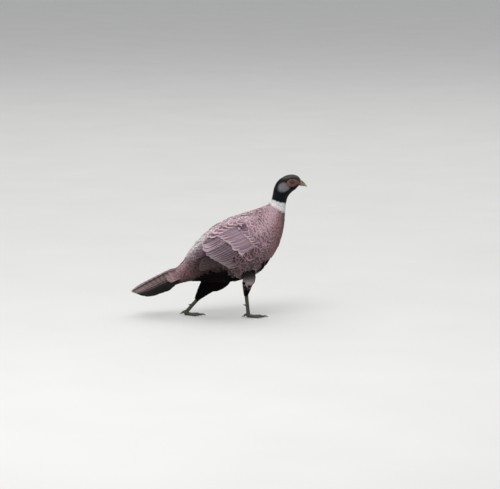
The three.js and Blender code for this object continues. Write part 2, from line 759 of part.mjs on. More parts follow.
// The origin is the middle of the bird's own footprint, on the floor.
const box = new THREE.Box3().setFromObject(bird);
const middle = box.getCenter(new THREE.Vector3());
bird.position.set(-middle.x, -middle.y, -box.min.z);

export default bird;
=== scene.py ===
"""A young cock common pheasant in mid-stride, life size: skin, plumage, face, feet and studio.

Scene units are metres, +Z up. The bird walks towards +X and its left side is +Y. Lengths in the
tables and in function arguments are millimetres, angles are degrees and colours are sRGB.

On the body u counts stations from tail to face, turn goes round from the back down the left side, and
t is the same angle counted down from the back on either side. On any surface p runs along and q goes
round. On a feather s runs from root to tip, and c across it from -1 to 1.
"""
import math
from functools import partial

import bpy
import numpy as np
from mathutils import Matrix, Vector
from mathutils.kdtree import KDTree


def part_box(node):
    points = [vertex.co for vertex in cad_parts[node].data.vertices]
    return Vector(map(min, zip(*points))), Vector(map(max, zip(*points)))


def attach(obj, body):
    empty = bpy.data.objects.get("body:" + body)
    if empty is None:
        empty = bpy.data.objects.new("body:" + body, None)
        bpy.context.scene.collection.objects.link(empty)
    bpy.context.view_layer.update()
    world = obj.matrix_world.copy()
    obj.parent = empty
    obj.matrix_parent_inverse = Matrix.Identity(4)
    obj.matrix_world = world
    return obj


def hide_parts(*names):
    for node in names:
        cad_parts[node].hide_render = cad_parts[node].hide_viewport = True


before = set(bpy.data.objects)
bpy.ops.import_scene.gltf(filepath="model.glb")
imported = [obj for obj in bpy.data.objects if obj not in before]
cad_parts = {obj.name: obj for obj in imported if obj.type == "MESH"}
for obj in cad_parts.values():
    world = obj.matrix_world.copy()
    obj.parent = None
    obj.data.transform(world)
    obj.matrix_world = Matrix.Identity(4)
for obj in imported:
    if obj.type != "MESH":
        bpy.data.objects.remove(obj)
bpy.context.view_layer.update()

MM = 0.001
RIGHT = -1
LEFT = 1
SIDES = {"right": RIGHT, "left": LEFT}

# Sections of the feathered outline from tail to face: x and z of the centre, the slope of the spine,
# the reach above and below the centre and half the width.
STATIONS = np.array([
    (-122, 99, 25, 18, 15, 17),
    (-84, 118, 27, 29, 25, 28),
    (-48, 137, 31, 51, 52, 44),
    (3, 160, 34, 74, 78, 58),
    (57, 187, 34, 83, 84, 65),
    (98, 210, 33, 76, 69.5, 63),
    (129, 236, 33, 60, 55.5, 54),
    (147, 263, 39, 41, 39, 41),
    (155, 285, 53, 28, 26, 29),
    (159, 305, 69, 20.5, 20.5, 21.5),
    (163, 322, 77, 20, 20, 19.5),
    (169, 337, 73, 23, 23, 19.5),
    (178, 349, 61, 25, 24.5, 19.5),
    (189, 357, 43, 23.5, 22.5, 18.5),
    (199.5, 360.5, 23, 20.5, 18.5, 16.5),
    (207.5, 360.5, 4, 16.5, 15, 13),
    (213, 359, -9, 11.5, 11, 9.6),
    (215.5, 358.2, -14, 9, 8.5, 7.4),
], float)
NECK_BASE = 8.3
COLLAR_TOP = 9.25
FACE = 17
EYE = {"u": 13.65, "turn": 88, "sink": 4.7, "radius": 6.2}


def smooth(values, at):
    """Rows on the smooth curve through rows of values that lie one apart, straight beyond its ends."""
    at = np.asarray(at, float)
    last = len(values) - 1
    inside = np.clip(at, 0, last)
    i = np.minimum(np.floor(inside), last - 1).astype(int)
    t = (inside - i)[..., None]
    a, b, c, d = (values[np.clip(i + k, 0, last)] for k in (-1, 0, 1, 2))
    square, cube = 2 * a - 5 * b + 4 * c - d, 3 * b - a - 3 * c + d
    curve = 2 * b + (c - a) * t + square * t**2 + cube * t**3
    slope = c - a + 2 * square * t + 3 * cube * t**2
    return (curve + slope * (at - inside)[..., None]) / 2


def ramp(low, high, value):
    """0 below low, 1 above high and a smooth step between them."""
    t = np.clip((np.asarray(value, float) - low) / (high - low), 0, 1)
    return t * t * (3 - 2 * t)


def mix(a, b, share):
    return a + (b - a) * share


def hill(*offsets):
    """1 where every offset is 0, falling away smoothly with each."""
    return np.exp(-sum(offset**2 for offset in offsets))


def wrapped(angle):
    """An angle in degrees brought to between -180 and 180."""
    return (angle + 180) % 360 - 180


def side_of(turn):
    """1 on the left half of the outline and -1 on the right half."""
    return np.where(np.asarray(turn) % 360 < 180, LEFT, RIGHT)


def down_from_back(turn):
    """Degrees from the middle of the back, 0 to 180, on either side."""
    return np.abs(wrapped(np.asarray(turn)))


shift = np.zeros(3)


def body(u, turn, lift=0.0):
    """Points on the outline: u counts stations, turn is in degrees from the back down the left side
    and lift is in millimetres outside the outline."""
    x, z, slope, rise, drop, half = np.moveaxis(smooth(STATIONS, u), -1, 0)
    up = np.cos(np.radians(turn))
    reach = up * (np.where(up > 0, rise, drop) + lift)
    across = np.sin(np.radians(turn)) * (half + lift)
    slope = np.radians(slope)
    place = [x - np.sin(slope) * reach, across, z + np.cos(slope) * reach]
    return MM * np.stack(np.broadcast_arrays(*place), -1) + shift


def frame_shift():
    """From the outline's own origin to the frame's: the eye's middle is known in both."""
    low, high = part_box("eye_left")
    return np.array((low + high) / 2) - body(EYE["u"], EYE["turn"], -EYE["sink"])


shift = frame_shift()


def scale_at(surface, p, q):
    """Millimetres for one step of p and for one degree of q at places on a surface."""
    step = 0.02
    here = surface(p, q)
    along = np.linalg.norm(surface(p + step, q) - here, axis=-1) / step
    around = np.linalg.norm(surface(p, q + 1.0) - here, axis=-1)
    return along / MM, around / MM


def eye_scale():
    """Millimetres for one station and for one degree of turn at the eye."""
    return [float(size) for size in scale_at(body, np.array(EYE["u"]), np.array(float(EYE["turn"])))]


def face_plane(u, t):
    """Millimetres ahead of the eye and below it, measured as at the eye."""
    per_u, per_turn = eye_scale()
    return (u - EYE["u"]) * per_u, (t - EYE["turn"]) * per_turn


# Legs: places of the joints, with y away from the middle, and the way the foot points.
LEGS = {
    "right": {"knee": (84, 31, 110), "hock": (72, 23, 76), "foot": (79, 19, 8), "heading": 4},
    "left": {"knee": (8, 31, 99), "hock": (-39, 23, 62), "foot": (-87, 19, 8), "heading": -5},
}


def limb(stops, t, angle, lift=0.0):
    """Points on a limb of oval sections: stops are rows of x, y, z, half size in the side view and
    half size across it. t counts stops, and the front or upper side is at 90 degrees."""
    here = smooth(stops, t)
    last = len(stops) - 1
    run = smooth(stops, np.minimum(t + 0.05, last)) - smooth(stops, np.maximum(t - 0.05, 0))
    run = run[..., :3] / np.linalg.norm(run[..., :3], axis=-1, keepdims=True)
    wide_way = np.array([0, 1, 0]) - run * run[..., 1:2]
    wide_way /= np.linalg.norm(wide_way, axis=-1, keepdims=True)
    other_way = np.cross(run, wide_way)
    wide = (here[..., 4] + lift) * np.cos(np.radians(angle))
    high = (here[..., 3] + lift) * np.sin(np.radians(angle))
    place = here[..., :3] + wide_way * wide[..., None] + other_way * high[..., None]
    return MM * place + shift


def stops_of(name, rows):
    """Stops of a limb on one side, from rows of a place with y away from the middle, the half size in
    the side view and the half size across it."""
    return np.array([(x, SIDES[name] * y, z, half, wide) for (x, y, z), half, wide in rows], float)


def between(a, b, share):
    return mix(np.array(a, float), np.array(b, float), share)


# The feathers of each thigh stand out from the flesh.
THIGHS = {
    "right": [((69, 30, 152), 24, 15), ((80, 30, 110), 18.5, 15), ((77, 27, 92), 14, 11.5),
              ((73.5, 22.5, 66), 7, 6.8)],
    "left": [((34, 30, 146), 26, 16), ((3, 30, 99), 29, 18), ((-29, 27, 78), 21.5, 15),
             ((-56, 22, 46), 7.8, 7.2)],
}


def thigh(name, t, angle, lift=0.0):
    return limb(stops_of(name, THIGHS[name]), t, angle, lift)


# Every run draws the same random numbers for a part.
SEEDS = {"coat": 11, "thigh_right": 31, "thigh_left": 37, "wing_right": 51, "wing_left": 53, "tail": 61,
         "wattle": 71}


def numbers_for(part):
    return np.random.default_rng(SEEDS[part])


# Meshes.
def signed_volume(points, faces):
    """Six times the volume inside the faces, below 0 where they face inwards."""
    a, b, c, d = (points[faces[:, k]] for k in range(4))
    return float((a * np.cross(b, c) + a * np.cross(c, d)).sum())


def add_mesh(name, points, faces, material, attributes=None, uv=None):
    """An object made of arrays: points in metres, faces of four corners, or of three where the last
    corner repeats the first, attributes with a value for each point, and uv with a place on the OFBake
    map for each point or for each face's four corners."""
    points = np.asarray(points, np.float32).reshape(-1, 3)
    faces = np.asarray(faces, np.int32)
    if uv is not None:
        uv = uv if len(uv) == len(faces) else uv[faces]
    if signed_volume(points.astype(float) - points.mean(0), faces) < 0:
        faces = faces[:, ::-1]
        uv = uv if uv is None else uv[:, ::-1]
    kept = np.ones(faces.shape, bool)
    kept[:, 3] = faces[:, 3] != faces[:, 0]
    sides = kept.sum(1)
    mesh = bpy.data.meshes.new(name)
    mesh.vertices.add(len(points))
    mesh.vertices.foreach_set("co", points.ravel())
    mesh.loops.add(int(sides.sum()))
    mesh.loops.foreach_set("vertex_index", faces[kept])
    mesh.polygons.add(len(faces))
    mesh.polygons.foreach_set("loop_start", (np.cumsum(sides) - sides).astype(np.int32))
    mesh.polygons.foreach_set("use_smooth", np.ones(len(faces), bool))
    mesh.update(calc_edges=True)
    kinds = {1: ("FLOAT", "value"), 3: ("FLOAT_VECTOR", "vector"), 4: ("FLOAT_COLOR", "color")}
    for key, values in (attributes or {}).items():
        values = np.asarray(values, np.float32)
        kind, field = kinds[1 if values.ndim == 1 else values.shape[1]]
        mesh.attributes.new(key, kind, "POINT").data.foreach_set(field, values.ravel())
    if uv is not None:
        layer = mesh.uv_layers.new(name="OFBake")
        layer.data.foreach_set("uv", np.asarray(uv[kept], np.float32).ravel())
    mesh.materials.append(material)
    obj = bpy.data.objects.new(name, mesh)
    bpy.context.scene.collection.objects.link(obj)
    return obj


def grid_faces(rows, columns, wrap=False, wrap_rows=False):
    """Four-cornered faces over a grid of points, closed round its columns or its rows where asked."""
    row_steps = np.arange(rows if wrap_rows else rows - 1)
    r, c = np.meshgrid(row_steps, np.arange(columns if wrap else columns - 1), indexing="ij")
    r2, c2 = (r + 1) % rows, (c + 1) % columns
    quads = [r * columns + c, r * columns + c2, r2 * columns + c2, r2 * columns + c]
    return np.stack(quads, -1).reshape(-1, 4)


def tube_faces(rows, columns):
    """Faces of a closed tube: a grid closed round its columns, and a fan of triangles over each end
    round a hub. The hubs are the two points after the grid's own."""
    faces = [grid_faces(rows, columns, wrap=True)]
    for k, row in enumerate((0, rows - 1)):
        rim = row * columns + np.arange(columns)
        hub = np.full(columns, rows * columns + k)
        pair = (rim, np.roll(rim, -1)) if k else (np.roll(rim, -1), rim)
        faces.append(np.stack([hub, *pair, hub], -1))
    return np.concatenate(faces)


def with_hubs(grid):
    """A tube's points or their values: those of the grid, then the hub of each end."""
    return np.concatenate([grid.reshape(-1, *grid.shape[2:]), grid[[0, -1]].mean(1)])


def join(name, objects):
    """The first object takes in the others."""
    with bpy.context.temp_override(
            active_object=objects[0], object=objects[0], selected_objects=objects,
            selected_editable_objects=objects):
        bpy.ops.object.join()
    objects[0].name = name
    objects[0].data.name = name
    return objects[0]


def merge(name, pieces, material):
    """One mesh from several of points, faces and relief, with all faces outwards."""
    points, faces, relief = zip(*pieces)
    first = np.cumsum([0] + [len(piece) for piece in points])
    ways = [1 if signed_volume(piece, quads) > 0 else -1 for piece, quads in zip(points, faces)]
    quads = np.concatenate([quads[:, ::way] + start for quads, way, start in zip(faces, ways, first)])
    return add_mesh(name, np.concatenate(points), quads, material, {"relief": np.concatenate(relief)})


def dress(obj, slot, *nodes):
    """The piece rides on the bird and stands for CAD nodes. Its slot is not used."""
    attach(obj, "root")
    if nodes:
        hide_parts(*nodes)


# Colours.
def linear(colour):
    """An sRGB colour of 0 to 255 as a linear one."""
    c = np.asarray(colour, float) / 255
    return np.where(c <= 0.04045, c / 12.92, ((c + 0.055) / 1.055) ** 2.4)


def rgba(colour):
    return (*[float(x) for x in linear(colour)], 1.0)


class Nodes:
    """A material's node tree, built by short calls that return sockets."""

    def __init__(self, name, shine=0.5, **settings):
        self.material = bpy.data.materials.new(name)
        self.material.use_nodes = True
        self.tree = self.material.node_tree
        self.shader = self.tree.nodes["Principled BSDF"]
        self.shader.inputs["Specular IOR Level"].default_value = shine
        for key, value in settings.items():
            self.shader.inputs[key.replace("_", " ").title()].default_value = value

    def add(self, kind, inputs=(), output=0, **settings):
        node = self.tree.nodes.new("ShaderNode" + kind)
        for key, value in settings.items():
            setattr(node, key, value)
        for key, value in dict(inputs).items():
            self.put(node.inputs[key], value)
        return node.outputs[output]

    def put(self, socket, value):
        if isinstance(value, bpy.types.NodeSocket):
            self.tree.links.new(value, socket)
        elif isinstance(value, tuple) and len(value) == 3 and len(socket.default_value) == 4:
            socket.default_value = rgba(value)
        else:
            socket.default_value = value

    def math(self, operation, a, b=0.0, c=0.0):
        return self.add("Math", {0: a, 1: b, 2: c}, operation=operation)

    def mix(self, share, a, b, blend="MIX"):
        inputs = {0: share, 6: a, 7: b}
        return self.add("Mix", inputs, output=2, data_type="RGBA", blend_type=blend)

    def line(self, value, slope, start):
        return self.math("MULTIPLY_ADD", value, slope, start)

    def step(self, low, high, value):
        """A smooth step from 0 at low to 1 at high."""
        inputs = {"Value": value, "From Min": low, "From Max": high}
        return self.add("MapRange", inputs, interpolation_type="SMOOTHSTEP")

    def fall(self, low, high, value):
        """A smooth step from 1 at low to 0 at high."""
        return self.math("SUBTRACT", 1.0, self.step(low, high, value))

    def shaded(self, colour, light):
        """A colour made darker or lighter by one number."""
        grey = self.add("CombineColor", dict.fromkeys(range(3), light))
        return self.mix(1.0, colour, grey, "MULTIPLY")

    def attribute(self, name, output=0):
        return self.add("Attribute", output=output, attribute_name=name)

    def noise(self, scale, detail):
        inputs = {"Vector": self.add("TexCoord", output=3), "Scale": scale, "Detail": detail}
        return self.add("TexNoise", inputs)

    def bump(self, height, distance, strength):
        return self.add("Bump", {"Height": height, "Distance": distance, "Strength": strength})

    def finish(self, colour, roughness=None, normal=None):
        for key, value in (("Base Color", colour), ("Roughness", roughness), ("Normal", normal)):
            if value is not None:
                self.put(self.shader.inputs[key], value)
        return self.material


def feather_material(name, barbs=60.0, bars=0.0, gloss=0.62, sheen=0.06, shine=0.2, **settings):
    """Feathers: attributes base, edge and mark are each feather's colours, pattern its amounts of
    fringe, mark, shaft streak and bars, and lie the place on it (along, across, draw)."""
    n = Nodes(name, shine, roughness=gloss, sheen_weight=sheen, sheen_roughness=0.45, **settings)
    along, across, draw = n.add("SeparateXYZ", {0: n.attribute("lie", 1)}).node.outputs
    fringe, mark, streak = n.add("SeparateColor", {0: n.attribute("pattern")}).node.outputs
    out = n.math("ABSOLUTE", across)

    # Barbs run outwards and towards the tip, a little unevenly.
    wander = n.noise(900.0, 1.0)
    barb_place = n.math("MULTIPLY", n.line(out, -0.32, along), barbs * 2 * math.pi)
    barb = n.math("SINE", n.line(wander, 3.5, barb_place))

    # How far out towards the feather's edge a point lies, 1 at the edge.
    tip = n.math("MAXIMUM", n.line(along, 2.0, -1.0), 0.0)
    squares = n.math("ADD", n.math("POWER", out, 2.4), n.math("POWER", tip, 2.4))
    reach = n.line(n.math("SUBTRACT", wander, 0.5), 0.22, squares)
    fringe_start = n.line(fringe, -0.5, 0.92)
    on_fringe = n.step(fringe_start, n.math("ADD", fringe_start, 0.16), reach)
    dark_band = n.math("MULTIPLY", n.step(0.22, 0.42, reach), n.fall(0.7, 0.9, reach))
    on_mark = n.math("MULTIPLY", n.math("MULTIPLY", dark_band, mark), n.step(0.25, 0.5, along))
    shaft = n.fall(0.02, 0.1, out)

    colour = n.mix(on_mark, n.attribute("base"), n.attribute("mark"))
    if bars:
        bar_place = n.line(along, bars * 2 * math.pi, n.math("MULTIPLY", out, 1.2))
        wave = n.math("SINE", n.line(wander, 1.6, bar_place))
        on_bar = n.math("MULTIPLY", n.step(0.35, 0.75, wave), n.attribute("pattern", 3))
        colour = n.mix(on_bar, colour, n.attribute("mark"))
    colour = n.mix(n.math("MULTIPLY", on_fringe, n.step(0.001, 0.1, fringe)), colour, n.attribute("edge"))
    colour = n.mix(n.math("MULTIPLY", shaft, streak), colour, n.attribute("edge"))
    colour = n.shaded(colour, n.line(draw, 0.22, n.line(barb, 0.12, 0.9)))
    return n.finish(colour, normal=n.bump(n.line(shaft, 1.5, barb), 0.00016, 0.8))


# Markings: what the plumage looks like round a place on the body (station, degrees from the back),
# how far that reaches, its colours (ground, fringe, mark), and the amounts of fringe, mark, shaft
# streak and bars.
ZONES = [
    # mantle: pale pink with maroon marks
    (7.2, 20, 0.8, 60, (187, 154, 163), (212, 186, 190), (128, 88, 100), (0.5, 0.6, 0.2, 0)),
    (6.0, 25, 0.6, 24, (140, 100, 108), (196, 166, 172), (88, 52, 64), (0.45, 1.0, 0.3, 0)),
    (5.0, 10, 0.9, 18, (186, 164, 170), (226, 210, 212), (124, 94, 106), (0.6, 0.6, 0.3, 0)),
    (4.9, 36, 0.7, 12, (198, 168, 178), (230, 208, 213), (128, 90, 104), (0.6, 0.5, 0.3, 0)),
    # middle back
    (3.8, 15, 0.7, 40, (178, 156, 164), (216, 200, 204), (116, 88, 100), (0.5, 0.6, 0.3, 0)),
    # rump: a pale streak over the back, a painted highlight where the light falls, with dark feathers below
    # it
    (2.55, 6, 0.75, 25, (196, 189, 190), (220, 214, 214), (164, 150, 156), (0.6, 0.25, 0.1, 0)),
    (2.6, 44, 0.8, 13, (104, 82, 90), (150, 128, 136), (66, 46, 54), (0.4, 0.6, 0.2, 0)),
    # upper tail coverts
    (0.8, 20, 0.7, 50, (152, 118, 122), (176, 148, 150), (92, 60, 66), (0.5, 0.5, 0.2, 0)),
    # shoulder and side of the upper breast
    (7.0, 72, 0.8, 22, (204, 168, 176), (222, 194, 200), (134, 92, 104), (0.45, 0.5, 0.2, 0)),
    # breast
    (7.0, 112, 0.9, 18, (152, 112, 118), (182, 144, 148), (88, 54, 62), (0.45, 0.6, 0.1, 0)),
    (6.8, 155, 1.1, 30, (142, 99, 102), (104, 66, 70), (82, 48, 54), (0.45, 0.6, 0.1, 0)),
    # flank in front of and below the wing; the lower one also painted darker as shade under the wing
    (5.6, 118, 0.8, 20, (140, 112, 118), (172, 142, 148), (84, 56, 66), (0.45, 0.7, 0.15, 0)),
    (4.2, 122, 0.9, 18, (98, 74, 80), (140, 112, 118), (52, 34, 42), (0.4, 0.7, 0.1, 0)),
    # rear flank
    (2.4, 96, 0.9, 34, (38, 24, 27), (66, 45, 50), (25, 15, 18), (0.35, 0.6, 0.1, 0)),
    (1.1, 95, 0.6, 34, (104, 66, 70), (132, 94, 96), (60, 34, 38), (0.4, 0.5, 0.1, 0)),
    (3.65, 150, 0.35, 17, (112, 94, 94), (142, 123, 122), (60, 46, 46), (0.5, 0.4, 0.1, 0)),
    # under the tail
    (0.9, 165, 0.8, 40, (34, 22, 22), (50, 34, 33), (18, 12, 12), (0.4, 0.4, 0, 0)),
]
BELLY = ((9, 7, 7), (18, 14, 14), (5, 4, 4), (0.3, 0.3, 0, 0))
# Where the belly's black and the painted shade under the body begin: stations and degrees from the back.
BELLY_EDGE = (
    (0.8, 1.5, 2.1, 3.0, 3.25, 3.7, 4.1, 4.5, 5.0, 5.6),
    (182, 132, 113, 116, 156, 166, 160, 142, 152, 182))
# black neck; its green fringe and violet mark are the neck's green and violet gloss, painted sheen
NECK = ((4, 6, 7), (7, 18, 17), (10, 6, 18), (0.5, 0.4, 0, 0))
COLLAR = ((234, 229, 231), (246, 243, 242), (200, 190, 196), (0.4, 0.25, 0, 0))
CROWN = ((80, 80, 72), (108, 106, 98), (50, 50, 46), (0.5, 0.5, 0.2, 0))
CHEEK = ((70, 54, 48), (98, 78, 68), (38, 30, 27), (0.5, 0.4, 0.2, 0))
# grey ear coverts: partly the young bird's greyer feathers, partly painted sky reflection on their gloss
EAR = ((122, 120, 123), (152, 150, 154), (88, 86, 92), (0.5, 0.4, 0.2, 0))


def paint_of(looks):
    """Ground, fringe and mark as linear colours, then the four amounts, in one row of numbers."""
    ground, edge, mark, amounts = looks
    return np.concatenate([linear(ground), linear(edge), linear(mark), np.array(amounts, float)])


def markings(u, turn):
    """The row of paint at places on the body."""
    u = np.asarray(u, float)
    t = down_from_back(turn)
    total = 1e-9
    paint = 0.0
    for at_u, at_t, reach_u, reach_t, *looks in ZONES:
        near = hill((u - at_u) / reach_u, (t - at_t) / reach_t)[..., None]
        paint = paint + near * paint_of(looks)
        total = total + near
    paint = paint / total

    def cover(looks, amount):
        return mix(paint, paint_of(looks), amount[..., None])

    edge = np.interp(u, *BELLY_EDGE)
    # the belly's own black, reaching up the rear flank as painted shade under the body
    paint = cover(BELLY, ramp(edge - 8, edge + 8, t) * ramp(0.8, 1.4, u) * (1 - ramp(5.2, 5.7, u)))
    paint = cover(COLLAR, ramp(NECK_BASE - 0.1, NECK_BASE + 0.15, u))
    paint = cover(NECK, ramp(COLLAR_TOP - 0.06, COLLAR_TOP + 0.12, u))
    paint = cover(CROWN, ramp(12.3, 13.4, u) * (1 - ramp(38, 66, t)))
    paint = cover(CHEEK, ramp(14.6, 15.6, u) * ramp(30, 60, t) * (1 - ramp(135, 160, t)))
    # the grey ear patch, partly painted sky reflection
    ear = 1 - ramp(0.55, 1.15, np.hypot((u - 11.75) / 0.95, (t - 82) / 40))
    return cover(EAR, ear)


TONES = slice(0, 9) # the nine numbers of the three colours in a row of paint
AMOUNTS = slice(9, 13)


def plain(looks, count):
    """The same row of paint for each of a number of feathers."""
    return np.tile(paint_of(looks), (count, 1))


def vary(paint, draw):
    """Paint with each feather a little lighter or darker, and its pattern a little stronger or weaker."""
    paint = paint.copy()
    count = len(paint)
    tone = 1 + 0.1 * draw.uniform(-1, 1, (count, 1)) + 0.03 * draw.uniform(-1, 1, (count, 9))
    paint[:, TONES] *= tone
    paint[:, AMOUNTS] = np.clip(paint[:, AMOUNTS] * (1 + 0.36 * draw.uniform(-1, 1, (count, 4))), 0, 1)
    return paint


def paint_attributes(paint, repeat=1):
    """Mesh attributes from rows of paint, each repeated for its own points."""
    paint = np.repeat(paint, repeat, axis=0)
    one = np.ones((len(paint), 1))
    return {
        "base": np.hstack([paint[:, 0:3], one]),
        "edge": np.hstack([paint[:, 3:6], one]),
        "mark": np.hstack([paint[:, 6:9], one]),
        "pattern": paint[:, AMOUNTS],
    }


# The OFBake map: the body fills its upper part and each thigh a field below it. A field is given by
# its left and lower edges, its width and its height.
BODY_FIELD = (0.02, 0.3, 0.96, 0.68)
THIGH_FIELDS = {"right": (0.02, 0.02, 0.46, 0.26), "left": (0.52, 0.02, 0.46, 0.26)}
ARM_FIELD = (0.02, 0.8, 0.96, 0.18)


def in_field(field, across, along):
    left, low, width, height = field
    return np.stack([left + width * across, low + height * along], -1)


def body_map(u, turn):
    return in_field(BODY_FIELD, np.asarray(turn) % 360 / 360, np.asarray(u) / FACE)


def thigh_map(name, t, angle):
    return in_field(THIGH_FIELDS[name], np.asarray(angle) % 360 / 360, np.asarray(t) / 3)


# The folded wing stands a little out from the outline, and the feathers round it lie over its edges.
WING_FRONT = 6.45
WING_END = 1.9
FOLD_MIDDLE = 82 # degrees from the back where the folded wing opens at its front
SWELL = 9.5 # how far it lifts the plumage over it


def fold_edges(a, full, upper, lower):
    """Upper and lower edge, in degrees from the back, of a shape that opens from its front, where a is
    0, to its full breadth. upper and lower say how far each edge opens and how much it closes again."""
    open_ = np.sqrt(1 - (1 - np.minimum(1, (a + 0.01) / full)) ** 2)
    return FOLD_MIDDLE - upper[0] * open_ + upper[1] * a, FOLD_MIDDLE + lower[0] * open_ - lower[1] * a


def wing_edges(u):
    """Where the folded wing's upper and lower edges lie, in degrees from the back."""
    return fold_edges(np.clip((WING_FRONT - u) / (WING_FRONT - WING_END), 0, 1), 0.2, (45, 6), (34, 14))


def arm_edges(a):
    """The same for the wing's arm, from the wrist (a 0) to its end (a 1)."""
    return fold_edges(a, 0.24, (46, 4), (34, 5))


def swell(u, turn):
    """How far the folded wing lifts the plumage over it."""
    t = down_from_back(turn)
    upper, lower = wing_edges(u)
    along = (1 - ramp(WING_FRONT - 0.9, WING_FRONT + 0.1, u)) * ramp(WING_END + 0.7, WING_END + 2.6, u)
    return SWELL * along * ramp(upper - 10, upper + 14, t) * (1 - ramp(lower, lower + 16, t))


# Body feathers at stations from the tail forwards: station, then length, width and depth of the coat
# on the back, then the same on the belly.
COAT = np.array([
    (0.0, 38, 10, 3.5, 32, 9, 3.5),
    (1.5, 44, 12, 6, 38, 11, 6),
    (3.0, 44, 15, 7, 44, 14, 9),
    (4.5, 42, 16, 7, 44, 15, 9),
    (6.0, 36, 14.5, 6, 36, 14, 7),
    (7.3, 25, 10.5, 5, 26, 10.5, 5),
    (8.3, 15, 6.8, 3.6, 16, 6.8, 3.6),
    (9.25, 10, 4.6, 2.6, 10, 4.6, 2.6),
    (11.2, 8, 3.6, 1.8, 8, 3.6, 1.8),
    (13.0, 6, 2.9, 1.4, 6, 2.9, 1.4),
    (15.0, 4.6, 2.4, 1.1, 4.6, 2.4, 1.1),
    (16.8, 3.4, 2.0, 0.8, 3.4, 2.0, 0.8),
])


COAT_START = 16.75
COAT_END = 0.35
ROW_GAP = 0.27 # between rows of body feathers, as a share of their length
SIDE_GAP = 0.8 # between neighbours, as a share of their width
ROW_JITTER = 0.14
SIDE_JITTER = 0.16
ROOT_STEPS = 420 # places along a surface at which its rows are measured
# Stations and degrees from the back where one piece of the coat ends and the next begins.
HEAD_END = 12.2
NECK_END = 9.35
COLLAR_END = 8.2
BREAST_END = 5.3
MANTLE_END = 4.6
BACK_EDGE = 75
# Where feathers stop round the eye, in millimetres ahead of it, behind, below and above.
BARE_FACE = (29, 13.5, 12, 8.6)


def coat_at(u, turn):
    """Length, width and depth of the coat at places on the body."""
    below = ramp(60, 130, down_from_back(turn))
    back, belly = ([np.interp(u, COAT[:, 0], COAT[:, k]) for k in ks] for ks in ((1, 2, 3), (4, 5, 6)))
    return [mix(x, y, below) for x, y in zip(back, belly)]


def roots_over(surface, start, end, spacing, draw, turns=181):
    """Roots in staggered rows over a surface from start to end. spacing(p, q) gives the distance
    between rows and between neighbours."""
    p = np.linspace(start, end, ROOT_STEPS)
    q = np.linspace(0, 360, turns)
    grid_p, grid_q = np.meshgrid(p, q, indexing="ij")
    places = surface(grid_p, grid_q) / MM
    row_gap, _ = spacing(grid_p, grid_q)
    step = np.linalg.norm(np.diff(places, axis=0), axis=-1) / row_gap[1:]
    rows = np.vstack([np.zeros(len(q)), np.cumsum(step, axis=0)])
    found_p, found_q = [], []
    for row in range(int(rows[-1].max())):
        at_p = np.array([np.interp(row + 0.5, rows[:, k], p, right=np.nan) for k in range(len(q))])
        line = surface(at_p, q) / MM
        _, gap = spacing(at_p, q)
        hops = np.nan_to_num(np.linalg.norm(np.diff(line, axis=0), axis=-1) / gap[1:])
        count = np.concatenate([[0], np.cumsum(hops)])
        total = count[-1]
        if total < 2:
            continue
        wanted = np.arange(round(total)) + 0.5 * (row % 2)
        wanted = (wanted + SIDE_JITTER * draw.uniform(-1, 1, len(wanted))) % round(total)
        at_q = np.interp(wanted * total / round(total), count, q)
        at = np.interp(at_q, q, at_p)
        jitter = ROW_JITTER * draw.uniform(-1, 1, len(at)) * spacing(at, at_q)[0]
        at = at + jitter / np.maximum(scale_at(surface, at, at_q)[0], 1)
        keep = np.isfinite(at)
        found_p.append(at[keep])
        found_q.append(at_q[keep])
    return np.concatenate(found_p), np.concatenate(found_q)


TIP_ROUND = 0.38 # how far a body feather's sides fall short of its tip
ROOT_SINK = 0.5 # how deep its root goes into the skin
VANE_THICK = 0.3
TUFT_PATCH = 0.003 # side of its patch on the OFBake map


def breadth(s, root, widest):
    """Width of a feather along its length as a share of the widest, from its root to its widest place."""
    return root + (1 - root) * np.sin(np.pi / 2 * np.minimum(1, s / widest))


def feathers(name, top, under, along, across, map_of, paint, material, draw):
    """One mesh of closed feathers from grids of points of their upper and under faces, each
    (count, rows, columns, 3). along and across place a grid's points on its feather, and map_of gives
    their places on the OFBake map from those."""
    count, rows, columns = top.shape[:3]
    size = rows * columns
    points = np.concatenate([top.reshape(count, size, 3), under.reshape(count, size, 3)], 1)
    quads = grid_faces(rows, columns)
    both = np.concatenate([quads, quads[:, ::-1] + size])
    faces = both + 2 * size * np.arange(count)[:, None, None]
    lies = np.empty((count, 2 * size, 3))
    lies[..., 0] = np.tile(np.repeat(along, columns), 2)
    lies[..., 1] = np.tile(across, 2 * rows)
    lies[..., 2] = draw.uniform(0, 1, (count, 1))
    attributes = paint_attributes(vary(paint, draw), 2 * size)
    attributes["lie"] = lies.reshape(-1, 3)
    uv = map_of(lies[..., 0], lies[..., 1]).reshape(-1, 2)
    return add_mesh(name, points, faces.reshape(-1, 4), material, attributes, uv)


